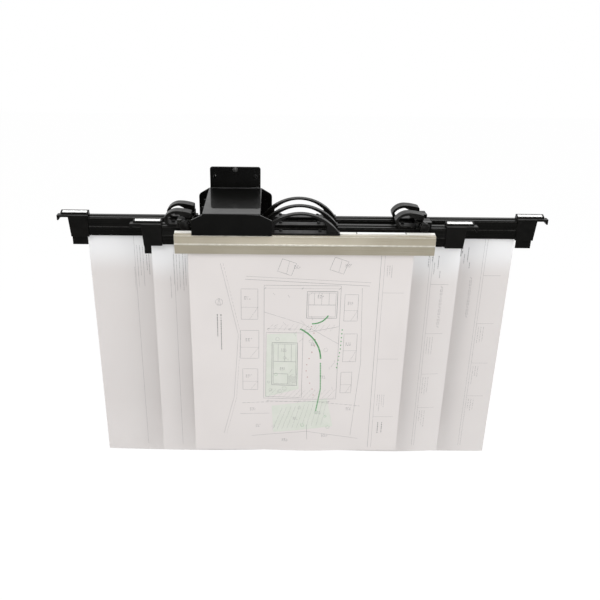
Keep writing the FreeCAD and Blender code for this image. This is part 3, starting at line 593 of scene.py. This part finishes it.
def endTree(tree, geometry, material):
    real = addNode(tree, "GeometryNodeRealizeInstances", {"Geometry": geometry})
    paint = addNode(tree, "GeometryNodeSetMaterial", {"Geometry": real.outputs[0], "Material": material})
    addNode(tree, "NodeGroupOutput", {0: paint.outputs[0]})
    return tree


def grown(mesh, tree, **values):
    # The mesh that a node tree makes of this one, with the tree's inputs set by name.
    holder = hold(mesh)
    modifier = holder.modifiers.new(tree.name, "NODES")
    modifier.node_group = tree
    for item in tree.interface.items_tree:
        if item.name in values:
            modifier[item.identifier] = values[item.name]
    return bake(holder)


def extrusionTree():
    tree, take = startTree("barExtrusion", {"Profile": "Geometry", "Start": "Float", "Length": "Float",
                                            "Finish": "Material"}, "Bar")
    start = addNode(tree, "ShaderNodeCombineXYZ", {"X": take["Start"]})
    move = addNode(tree, "GeometryNodeTransform",
                   {"Geometry": take["Profile"], "Translation": start.outputs[0]})
    push = addNode(tree, "ShaderNodeCombineXYZ", {"X": 1})
    draw = addNode(tree, "GeometryNodeExtrudeMesh",
                   {"Individual": False, "Mesh": move.outputs[0], "Offset": push.outputs[0],
                    "Offset Scale": take["Length"]}, mode="FACES")
    back = addNode(tree, "GeometryNodeFlipFaces", {"Mesh": move.outputs[0]})
    both = addNode(tree, "GeometryNodeJoinGeometry", {"Geometry": draw.outputs["Mesh"]})
    tree.links.new(back.outputs["Mesh"], both.inputs["Geometry"])
    seal = addNode(tree, "GeometryNodeMergeByDistance",
                   {"Geometry": both.outputs[0], "Distance": 0.001 * mm})
    return endTree(tree, seal.outputs[0], take["Finish"])


barTree = extrusionTree()


def extruded(outline, start, end, colour):
    # outline is (y, z) about the bar; the face that the tree draws out looks along +X.
    area = sum(a[0] * b[1] - b[0] * a[1] for a, b in zip(outline, outline[1:] + outline[:1]))
    if area < 0:
        outline = outline[::-1]
    face = shapeOf([(0, y, z) for y, z in outline], [tuple(range(len(outline)))])
    return grown(face, barTree, Start=start * mm, Length=(end - start) * mm, Finish=finish[colour])


# what both jaws of a bar share: its height, its wall, its gripping lips and its hinge
lips = {"height": 39, "wall": 2, "near": 0.55, "far": 2.45, "top": -33, "pivot": (-0.5, -8)}
height, wall, near, far, lipTop, pivot = lips.values()


def rearProfile():
    jaw = {"front": -0.3, "rear": 9.5, "flange": 2.5, "web": 3, "socket": 4.3, "bore": 2.5, "mouth": 2.4}
    front, rear, flange, web, socket, bore, mouth = jaw.values()
    outline = rounded([(front, 0), (rear, 0), (rear, -height), (near, -height), (near, lipTop),
                       (far, lipTop), (far, flange - height), (rear - wall, flange - height),
                       (rear - wall, -flange), (web, -flange)],
                      [0.4, 0.7, 0.7, 0.3, 0.3, 0.3, 0.3, 0.6, 0.6, 0.5], 4)
    webJoin, low, inner = (math.degrees(math.asin(part)) for part in
                           ((web - pivot[0]) / socket, mouth / socket, mouth / bore))
    frontJoin = math.degrees(math.acos((front - pivot[0]) / socket))
    outline += ring(pivot, socket, 90 - webJoin, low - 180, 22)
    outline += ring(pivot, bore, inner - 180, 180 - inner, 16)
    return outline + ring(pivot, socket, 180 - low, frontJoin, 8)


def frontProfile():
    jaw = {"top": -1.3, "flange": 2.1, "edge": -1.6, "reach": -8.9, "ridge": (-10.2, -19.6),
           "base": -7.6, "floor": 2.5, "bead": 2.2, "rib": 0.8, "groove": -3.6, "grooveHalf": 0.5,
           "grooveDepth": 0.7, "ridgeBead": 0.75}
    top, flange, edge, reach, (y, z), base, floor, bead, rib, level, wide, deep, proud = jaw.values()

    def faceAt(place):
        return reach + (y - reach) * (place - top) / (z - top)

    outline = rounded([(edge + 2, top), (reach, top), (faceAt(-3), -3)], [0, 0.5, 0], 4)
    outline = [(edge, top)] + outline[1:-1]
    outline += [(faceAt(level + wide), level + wide), (faceAt(level) + deep, level + wide * 0.5),
                (faceAt(level) + deep, level - wide * 0.5), (faceAt(level - wide), level - wide),
                (faceAt(z + 1.5), z + 1.5), (y - proud, z + 0.6), (y - proud, z), (y + 0.5, z - 0.3),
                (y + 0.6, z - 1), (y + 0.17, z - 1.25)]
    outline += rounded([(y + 0.17, z - 1.25), (base, -height), (-near, -height), (-near, lipTop),
                        (-far, lipTop), (-far, floor - height), (base + wall, floor - height),
                        (y + wall, z), (reach + wall, -9)],
                       [0, 0.7, 0.3, 0.3, 0.3, 0.3, 0.5, 0.4, 0], 4)[1:-1]
    join = math.degrees(math.asin(rib / bead))
    inside = reach + wall - 0.1
    outline += [(inside, pivot[1] - rib)] + ring(pivot, bead, join - 180, 180 - join, 18)
    return outline + [(inside, pivot[1] + rib), (inside + 0.1, top - flange), (edge, top - flange)]


# plan is where the sheet in front begins and where the notes stand on a rear sheet
binders = {
    "a0": {"plane": -60, "rearHalf": 447, "frontHalf": 416.5, "inner": 417, "bar": "anodisedBlack",
           "slot": "anodised_black", "width": 841, "shift": -1.4, "drop": 550, "phase": 0.6,
           "paper": "paperPaintedPaleTop", "seed": 5, "plan": (123, 36)},
    "a1": {"plane": -107, "rearHalf": 298.5, "frontHalf": 268, "inner": 268.5, "bar": "anodisedBlack",
           "slot": "anodised_black", "width": 594, "shift": 6, "drop": 516, "phase": 2.3,
           "paper": "paperPaintedPaleTop", "seed": 9, "plan": (76, 42)},
    "a2": {"plane": -154, "rearHalf": 239.5, "frontHalf": 239.5, "inner": None,
           "bar": "anodisedChampagne", "slot": "anodised_champagne", "width": 420, "shift": -6.5,
           "drop": 481, "phase": 4.4, "paper": "drawingPaper", "seed": 21},
}


def makeBars(key, binder):
    for jaw, outline, half in (("rear", rearProfile(), binder["rearHalf"]),
                               ("front", frontProfile(), binder["frontHalf"])):
        # The bevels take the lighter Edge finish: a little wear and a painted highlight.
        colours = (binder["bar"], binder["bar"] + "Edge")
        # The rear jaw of the shortest bar takes a pale copy of the champagne finish, painted light for its
        # lit top.
        if key == "a2" and jaw == "rear":
            colours = ("champagnePaintedLight", "anodisedChampagneEdge")
        bar = softened(extruded(outline, -half, half, colours[0]), 0.25, colours, 2, 55)
        if key == "a2" and jaw == "front":
            # The bead along the ridge of the shortest bar takes the pale edge finish, a painted highlight
            # along the ridge.
            for face in bar.polygons:
                if face.center.y < -9.6 * mm and -19.7 < face.center.z / mm < -18.2:
                    face.material_index = 1
        shifted(bar, barMiddle, binder["plane"], barTop)
        body = f"{key}_carrier" if jaw == "rear" else f"{key}_front"
        addPiece(f"{key}_{jaw}_bar", bar, body, [f"{key}_{jaw}_jaw"])


# screws

def screwTree(head):
    tree, take = startTree("railScrews", {"Places": "Geometry", "Size": "Float", "Turn": "Float",
                                          "Seed": "Int", "Finish": "Material"}, "Screws")
    points = addNode(tree, "GeometryNodeMeshToPoints", {"Mesh": take["Places"]})
    template = addNode(tree, "GeometryNodeObjectInfo", {"Object": head})
    angle = addNode(tree, "FunctionNodeRandomValue", {2: 0, 3: take["Turn"], "Seed": take["Seed"]},
                    data_type="FLOAT")
    twist = addNode(tree, "ShaderNodeCombineXYZ", {"Z": angle.outputs[1]})
    put = addNode(tree, "GeometryNodeInstanceOnPoints",
                  {"Points": points.outputs["Points"], "Instance": template.outputs["Geometry"],
                   "Rotation": twist.outputs["Vector"], "Scale": take["Size"]})
    return endTree(tree, put.outputs["Instances"], take["Finish"])


def screwShape():
    # Pan head with a cross recess, drawn with its seat at zero.
    screw = {"head": 3.5, "rise": 2.4, "shank": 1.96, "below": 8, "slotHalf": 0.45, "slotReach": 1.9,
             "slotDepth": 1.4}
    head, rise, shank, below, half, reach, depth = screw.values()
    body = turnedShape([(-below, 0), (-below, shank - 0.5), (0.5 - below, shank), (0, shank), (0, head),
                        (0.7, head), (1.5, head - 0.35), (2.1, head - 1.1), (rise, head - 2.2), (rise, 0)],
                       (0, 0, 0), "Z", 20)
    return painted(carved(body, slab([crossOutline(half, reach)], rise - depth, rise + 1, "XY")), [], 25)


screwHead = hold(screwShape(), "screwTemplate")
railTree = screwTree(screwHead)


def makeScrews(key, binder):
    screws = {"line": 5.3, "seat": 3, "rail": (-44.5, 27.5, -182, -96), "loops": (-247, 187), "seed": 7}
    across = screws["rail"] + (screws["loops"] if binder["inner"] else ())
    places = shapeOf([(barMiddle + place, binder["plane"] + screws["line"], barTop + screws["seat"])
                      for place in across], [])
    mesh = grown(places, railTree, Size=1.0, Turn=math.pi, Seed=screws["seed"],
                 Finish=finish["screwBlack"])
    addPiece(f"{key}_pan_screws", painted(mesh, [], 25), f"{key}_carrier",
             [f"{key}_rail_screws"])


# handles, hangers, loops, lugs and knobs

def knobShape():
    # Fluted grip with a rounded face, a shallow ring and a domed middle.
    knob = {"radius": 9.5, "flutes": 10, "fluteRadius": 2.4, "fluteDepth": 0.9, "front": -25.8,
            "steps": 120}
    full, flutes, fluteRadius, fluteDepth, front, steps = knob.values()
    centre = full + fluteRadius - fluteDepth

    def grip(angle):
        step = 2 * math.pi / flutes
        away = (angle + step / 2) % step - step / 2
        inside = fluteRadius ** 2 - (centre * math.sin(away)) ** 2
        return min(full, centre * math.cos(away) - math.sqrt(inside)) if inside > 0 else full

    # distance behind the front, radius, and how far the flutes reach in
    layers = [(9, 2.55, 0), (9, 8.6, 1), (8.6, 9.1, 1), (8.1, 9.5, 1), (1.9, 9.5, 1), (1.1, 9.25, 1),
              (0.5, 8.6, 0.9), (0.1, 7.7, 0.6), (0, 7.0, 0.1), (0, 6.4, 0), (0.5, 6.1, 0),
              (0.55, 3.6, 0), (0.35, 3.2, 0), (0.12, 2.0, 0), (0.05, 0.9, 0)]
    points = []
    faces = []
    for layer, (behind, radius, share) in enumerate(layers):
        for step in range(steps):
            angle = 2 * math.pi * step / steps
            size = radius - (full - grip(angle)) * share
            points.append((size * math.cos(angle), front + behind, size * math.sin(angle)))
            if layer:
                here, follower = layer * steps + step, layer * steps + (step + 1) % steps
                faces.append((here - steps, follower - steps, follower, here))
    last = (len(layers) - 1) * steps
    faces.append(tuple(range(last, last + steps)))
    return weld(shapeOf(points, faces), 0, True)


def makeEnds(key, binder):
    ends = {"reach": 223.5, "level": 4.5,
            "stud": [(-22.6, 0), (-22.6, 2), (-22.1, 2.5), (10.3, 2.5), (10.3, 5), (12.6, 5),
                     (13.1, 4.6), (13.3, 4), (13.3, 0)]}
    for side, sign in (("left", -1), ("right", 1)):
        here = f"{key}_{side}"
        middle = (barMiddle + sign * ends["reach"], binder["plane"], barTop + ends["level"])
        dressCad(f"{here}_loop", "moulded", 0.8, plastic, f"{key}_carrier")
        dressCad(f"{here}_lug", "formed", 0.4, powder, f"{key}_front")
        stud = painted(turnedShape(ends["stud"], middle), ["zincSteel"])
        addPiece(f"{here}_stud_turned", stud, f"{here}_turn", [f"{here}_stud"])
        knob = painted(shifted(knobShape(), *middle), ["blackPlastic"], 40)
        addPiece(f"{here}_knob_moulded", knob, f"{here}_turn", [f"{here}_knob"])


# end caps and labels

def makeCaps(key, binder):
    tray = {"length": 54, "depth": 9.8, "low": 3.7, "high": 6.7, "front": 0.9, "rear": 1.5, "end": 3,
            "lip": 0.95, "card": 0.4, "round": 0.6}
    length, depth, low, high, front, rear, end, lip, thick, radius = tray.values()
    lean = Matrix.Identity(4)  # from the low front to the high rear of the tray
    lean[2][1] = (high - low) / depth
    for side, sign in (("left", -1), ("right", 1)):
        here = f"{key}_{side}"
        dressCad(f"{here}_cap", "moulded", 0.5, plastic, f"{key}_carrier")
        near, far = sorted((0, sign * length))
        left, right = near + end, far - end
        frame = slab([rounded(rectangle(near, far, 0, depth), radius),
                      rounded(rectangle(left, right, front, depth - rear), radius)], -0.2, lip, "XY")
        card = slab([rectangle(left - 1, right + 1, 0.5, depth - 0.9)], 0.02, thick, "XY")
        for mesh in (frame, card):
            mesh.transform(lean)
            shifted(mesh, barMiddle + sign * binder["inner"], binder["plane"], barTop + low)
        addPiece(f"{here}_label_frame", softened(frame, 0.2, plastic, 2), f"{key}_carrier")
        addPiece(f"{here}_label_card", softened(card, 0.1, label, 2), f"{key}_carrier",
                 [f"{here}_label"])


def makeRailLabel(key, binder):
    # Card strip with dark ends on top of the shortest bar's rear rail.
    strip = {"left": 95, "right": 186, "front": 1.2, "rear": 8.4, "thick": 0.3, "clip": 1.6, "proud": 0.4}
    left, right, front, rear, thick, clip, proud = strip.values()
    start = (barMiddle, binder["plane"], barTop)
    card = shifted(slab([rectangle(left, right, front, rear)], 0, thick, "XY"), *start)
    addPiece(f"{key}_rail_card", softened(card, 0.1, label, 2), f"{key}_carrier")
    clips = slab([rectangle(edge, edge + clip, front - proud, rear + proud)
                  for edge in (left - 0.6, right - 1)], 0, thick + proud, "XY")
    addPiece(f"{key}_rail_clips", softened(shifted(clips, *start), 0.15, plastic, 2), f"{key}_carrier")


# sheets and their drawings

paper = {"top": -30, "flatTo": -66, "easeTo": -330, "layers": 4, "gauge": 0.1, "tight": 0.24,
         "spread": 1.1, "cell": 9, "trim": 0.6, "wave": 1.5, "ripple": 0.8, "ownWave": 0.35,
         "roll": 2.4, "ownRoll": 0.4}


def paperPlace(binder, layer, x, z):
    # Offset of one sheet from its plane: flat between the jaws, softly waved below them.
    free = min(max((paper["flatTo"] - z) / (paper["flatTo"] - paper["easeTo"]), 0), 1)
    free = free * free * (3 - 2 * free)
    phase, across = binder["phase"], x / binder["width"]
    wave = paper["wave"] * math.sin(across * 7.4 + phase)
    wave += paper["ripple"] * math.sin(across * 15.3 + phase * 2.1 + free * 0.8)
    wave += paper["ownWave"] * math.sin(across * 9 + layer * 1.7 + phase)
    roll = (paper["roll"] + paper["ownRoll"] * layer) * (2 * abs(across)) ** 8
    step = layer - (paper["layers"] - 1) / 2
    return (wave + roll + step * paper["spread"]) * free + step * paper["tight"] * (1 - free)


def makeSheets(key, binder):
    width, length = binder["width"], binder["drop"] + paper["top"]
    rows, columns = round(length / paper["cell"]), round(width / paper["cell"])
    sheets = []
    for layer in range(paper["layers"]):
        points = []
        trim = paper["trim"] * layer
        for row in range(rows + 1):
            z = paper["top"] - length * row / rows
            for column in range(columns + 1):
                x = -width / 2 + trim + (width - 2 * trim) * column / columns
                points.append((barMiddle + binder["shift"] + x,
                               binder["plane"] + paperPlace(binder, layer, x, z), barTop + z))
        holder = hold(shapeOf(points, gridFaces(rows, columns)))
        thick = holder.modifiers.new("gauge", "SOLIDIFY")
        thick.thickness = paper["gauge"] * mm
        thick.offset = 0
        mesh = painted(bake(holder), [binder["paper"]], 40)
        sheets.append(addPiece(f"{key}_sheet_{layer + 1}", mesh, f"{key}_carrier",
                               () if layer else [f"{key}_sheets"]))
    return sheets


# each ink and how far it stands off the sheet
inks = {"inkWash": 0.09, "inkGrey": 0.12, "inkDark": 0.13, "inkGreen": 0.14, "inkRed": 0.15}
wash, grey, dark, green, red = inks


def inkPoint(draw, x, z, ink):
    draw["points"].append((x, paperPlace(draw["binder"], 0, x, z) - inks[ink], z))


def inkFaces(draw, faces, ink):
    draw["faces"] += faces
    draw["inks"] += [list(inks).index(ink)] * len(faces)


def inkLine(draw, path, width, ink):
    # Adds a thin printed line along a path of (x, z) points on the front sheet.
    fine = []
    for (ax, az), (bx, bz) in zip(path, path[1:]):
        count = max(1, math.ceil(math.hypot(bx - ax, bz - az) / 7))
        fine += [(ax + (bx - ax) * step / count, az + (bz - az) * step / count) for step in range(count)]
    fine.append(path[-1])
    base = len(draw["points"])
    for index, (x, z) in enumerate(fine):
        along = Vector(fine[min(index + 1, len(fine) - 1)]) - Vector(fine[max(index - 1, 0)])
        along = along.normalized() if along.length else Vector((1, 0))
        for turn in (1, -1):
            inkPoint(draw, x - along.y * turn * width / 2, z + along.x * turn * width / 2, ink)
    inkFaces(draw, [(corner, corner + 1, corner + 3, corner + 2)
                    for corner in range(base, base + 2 * len(fine) - 2, 2)], ink)


def inkLines(draw, ink, *lines):
    # Each line is its width and then its points.
    for width, *path in lines:
        inkLine(draw, path, width, ink)


def inkArea(draw, corners, ink):
    # Bilinear patch of a pale wash between four corners.
    first, second, third, fourth = (Vector(corner) for corner in corners)
    columns = max(1, math.ceil(max(abs(second.x - first.x), abs(third.x - fourth.x)) / 8))
    rows = max(1, math.ceil(max(abs(fourth.y - first.y), abs(third.y - second.y)) / 8))
    base = len(draw["points"])
    for row in range(rows + 1):
        start, end = first.lerp(fourth, row / rows), second.lerp(third, row / rows)
        for column in range(columns + 1):
            inkPoint(draw, *start.lerp(end, column / columns), ink)
    inkFaces(draw, gridFaces(rows, columns, base), ink)


def box(draw, left, right, low, high, width, ink):
    inkLine(draw, rectangle(left, right, low, high) + [(left, low)], width, ink)


def circle(draw, x, z, radius, width, ink):
    path = ring((x, z), radius, steps=15)
    inkLine(draw, path + path[:1], width, ink)


def dashes(draw, path, dash, gap, width, ink):
    travelled, on = 0, True
    limit, run = dash, [path[0]]
    for (ax, az), (bx, bz) in zip(path, path[1:]):
        length, done = math.hypot(bx - ax, bz - az), 0
        while length - done > limit - travelled:
            done += limit - travelled
            place = (ax + (bx - ax) * done / length, az + (bz - az) * done / length)
            if on:
                inkLine(draw, run + [place], width, ink)
            on, run, travelled = not on, [place], 0
            limit = dash if on else gap
        travelled += length - done
        run.append((bx, bz))
    if on and len(run) > 1:
        inkLine(draw, run, width, ink)


def scribbles(draw, x, z, rows, length, pitch, width, ink, upright=True):
    # Rows of short strokes that stand in for notes, without any letters.
    chance = draw["chance"]
    for row in range(rows):
        place, end = 0, length * chance.uniform(0.55, 1)
        while place < end:
            stop = min(place + chance.uniform(1, 3.4), end)
            if upright:
                inkLine(draw, [(x + row * pitch, z - place), (x + row * pitch, z - stop)], width, ink)
            else:
                inkLine(draw, [(x + place, z - row * pitch), (x + stop, z - row * pitch)], width, ink)
            place = stop + chance.uniform(1, 2.6)


def finishDrawing(key, draw):
    binder = draw["binder"]
    mesh = shapeOf([(barMiddle + binder["shift"] + x, binder["plane"] + y, barTop + z)
                    for x, y, z in draw["points"]], draw["faces"])
    for name in inks:
        mesh.materials.append(finish[name])
    mesh.polygons.foreach_set("material_index", draw["inks"])
    shape = bmesh.new()
    shape.from_mesh(mesh)
    for face in shape.faces:
        face.normal_update()
        if face.normal.y > 0:
            face.normal_flip()
    shape.to_mesh(mesh)
    shape.free()
    return addPiece(f"{key}_drawing", mesh, f"{key}_carrier")


def frontPlan(draw):
    # A garden court with two wings, a curved walk and planted beds.
    chance = draw["chance"]
    inkLines(draw, grey, (0.5, (150, -42), (150, -474)), (0.3, (157, -42), (157, -474)),
             *[(0.3, (157, level), (198, level)) for level in (-118, -262, -398)])
    scribbles(draw, 163, -62, 3, 34, 4.2, 0.7, grey)
    scribbles(draw, 163, -345, 4, 40, 4.4, 0.6, grey)
    scribbles(draw, 168, -412, 2, 46, 8, 1.5, dark)
    inkArea(draw, [(-62, -208), (-4, -204), (2, -330), (-66, -352)], wash)
    inkArea(draw, [(-52, -372), (60, -352), (74, -420), (-48, -436)], wash)
    # outer walls and rooms of the two wings
    for left, right, low, high in ((-52, -2, -322, -226), (14, 72, -172, -116)):
        box(draw, left, right, low, high, 0.8, grey)
        box(draw, left + 3, right - 3, low + 3, high - 3, 0.4, grey)
    inkLines(draw, grey, *[(0.4, (across, -229), (across, -268)) for across in (-40, -27, -14)],
             (0.6, (-49, -268), (-5, -268)), (0.6, (-49, -296), (-20, -296), (-20, -319)),
             *[(0.25, (-18 + step * 1.6, -300), (-18 + step * 1.6, -316)) for step in range(9)],
             *[(0.4, (across, -119), (across, -144)) for across in (28, 42, 56)],
             (0.6, (17, -144), (69, -144)))
    # plot lines of the court, streets and fences
    box(draw, -68, 78, -354, -104, 0.5, grey)
    box(draw, -64, 8, -350, -204, 0.4, dark)
    inkLines(draw, grey, (0.4, (8, -204), (78, -190)), (0.35, (-68, -160), (10, -186), (78, -228)),
             (0.35, (-150, -60), (-118, -210), (-128, -352), (-150, -440)))
    dashes(draw, [(-145, -60), (-113, -210), (-123, -354), (-144, -440)], 5, 3, 0.3, grey)
    inkLines(draw, grey, (0.5, (-104, -92), (132, -104)), (0.35, (-102, -86), (134, -97)),
             (0.4, (118, -108), (124, -270), (112, -444)))
    dashes(draw, [(-112, -366), (20, -358), (128, -372)], 7, 2.5, 0.5, grey)
    inkLines(draw, grey, (0.4, (-116, -392), (-56, -390)), (0.4, (-92, -446), (20, -432), (128, -452)),
             (0.5, (20, -416), (22, -452)))
    for left, right, low, high in ((-112, -80, -176, -112), (-114, -78, -262, -200),
                                   (-110, -80, -334, -286), (86, 112, -178, -122),
                                   (88, 114, -268, -206), (86, 108, -340, -292)):
        level = low + (high - low) * 0.4
        box(draw, left, right, low, high, 0.45, grey)
        inkLines(draw, grey, (0.3, (left, level), (right, level)),
                 (0.25, ((left + right) / 2, low), (right, level)))
    for left, high in ((-34, -50), (64, -46)):
        inkLines(draw, grey, (0.5, (left, high), (left + 26, high - 9), (left + 17, high - 34),
                              (left - 9, high - 25), (left, high)),
                 (0.35, (left + 8, high - 30), (left + 13, high - 5)))
    for start in range(-60, 70, 10):
        inkLines(draw, grey, (0.22, (start, -352), (start + 16, -332)),
                 (0.22, (start, -200), (start + 9, -186)))
    inkLines(draw, grey, *[(0.22, (-50 + line * 10, -430 + line * 1.4),
                            (-30 + line * 9, -376 + line * 1.8)) for line in range(11)])
    # curved walk, hedge and trees
    dashes(draw, ring((-30, -262), 74, 64, 1, 9), 2.4, 0.5, 3.0, green)
    dashes(draw, [(44, -270), (46, -330), (38, -382)], 2.6, 1.2, 2.4, green)
    dashes(draw, [(84, -196), (82, -240), (76, -286)], 2.4, 6, 2.0, green)
    dashes(draw, ring((26, -150), 34, 268, 331, 7), 2.4, 0.4, 2.6, green)
    for number in range(15):
        x, z = chance.uniform(-60, 70), chance.uniform(-428, -186)
        circle(draw, x, z, chance.uniform(2.2, 4.4), 0.3, green if number % 3 == 0 else grey)
    for number in range(26):
        x, z = chance.uniform(-66, 76), chance.uniform(-350, -110)
        inkLine(draw, [(x, z), (x + chance.uniform(-9, 9), z - chance.uniform(2, 9))], 0.3, grey)
    for number in range(12):
        circle(draw, 24 + 8 * math.sin(number * 0.7), -190 - number * 14, 0.5, 0.9, red)
    # dimension lines, north ring and notes
    for level, left, right in ((-110, -66, 76), (-196, -60, 22), (-360, -60, 64)):
        inkLine(draw, [(left, level), (right, level)], 0.25, grey)
        inkLines(draw, dark, *[(0.5, (tick - 1.6, level - 1.6), (tick + 1.6, level + 1.6))
                               for tick in (left, (left + right) / 2, right)])
    circle(draw, -154, -140, 7, 0.4, grey)
    inkLine(draw, [(-154, -132), (-151, -147), (-154, -144), (-157, -147), (-154, -132)], 0.4, grey)
    scribbles(draw, -158, -166, 2, 84, 7, 1.7, dark)
    for x, z in ((-106, -128), (-104, -218), (-104, -300), (92, -138), (92, -226), (34, -124),
                 (-34, -240), (-36, -282), (-8, -398), (38, -384), (-96, -378), (-84, -418),
                 (-30, -452), (52, -440), (44, -300), (24, -226), (100, -376), (-12, -64), (84, -60)):
        scribbles(draw, x, z, 3, 13, 2.6, 0.8, grey, False)


def sidePlan(draw):
    # Notes beside the margin, thin margins and a title strip.
    half, low = draw["binder"]["width"] / 2, 10 - draw["binder"]["drop"]
    edge, band = draw["binder"]["plan"]
    inkLines(draw, grey, *[(0.3, (across, -41), (across, low + 6))
                           for across in (half - 52, half - 57, edge - half - 34)],
             (0.35, (half - 52, -120), (half - 17, -120)))
    start, right = edge - half - band, half - edge + 16
    for x, z, rows, length, pitch, width, ink in (
            (start, -108, 1, 60, 1, 0.7, grey), (start + 7, -62, 3, 92, 5.6, 0.7, grey),
            (start + 25, -56, 2, 86, 4.6, 0.8, dark), (start + 37, -50, 1, 44, 1, 1.3, dark),
            (right, -60, 1, 26, 1, 1.0, dark), (right + 7, -58, 1, 16, 1, 1.2, dark),
            (right + 12, -74, 1, 30, 1, 0.9, dark), (right + 19, -60, 1, 30, 1, 1.1, dark),
            (right + 24, -92, 1, 20, 1, 1.0, dark)):
        scribbles(draw, x, z, rows, length, pitch, width, ink)
    for step in range(13):
        top = -124 - step * 7.2
        if step % 3:
            box(draw, right + 29, right + 33, top - 3.6, top, 0.55, grey)
        else:
            inkLine(draw, [(right + 29, top), (right + 33, top - 3.6)], 0.6, grey)
    for level in (-236, -330, -412):
        scribbles(draw, half - 47, level, 3, 44, 5.2, 0.6, grey)
        inkLine(draw, [(half - 52, level + 8), (half - 17, level + 8)], 0.3, grey)


for key, binder in binders.items():
    makeBars(key, binder)
    makeScrews(key, binder)
    dressCad(f"{key}_handle", "moulded", 0.9, plastic, f"{key}_carrier")
    # The hanger's bevels take the lighter screwRim finish, a painted highlight with a little wear.
    dressCad(f"{key}_hanger", "stamped", 0.35, ("screwBlack", "screwRim"), f"{key}_carrier")
    if binder["inner"]:
        makeEnds(key, binder)
        makeCaps(key, binder)
    else:
        makeRailLabel(key, binder)
    sheets = makeSheets(key, binder)
    draw = {"binder": binder, "points": [], "faces": [], "inks": [],
            "chance": random.Random(binder["seed"])}
    if "plan" in binder:
        sidePlan(draw)
    else:
        frontPlan(draw)
    drawing = finishDrawing(key, draw)
    print("binder", key, "made")


bpy.data.objects.remove(screwHead)
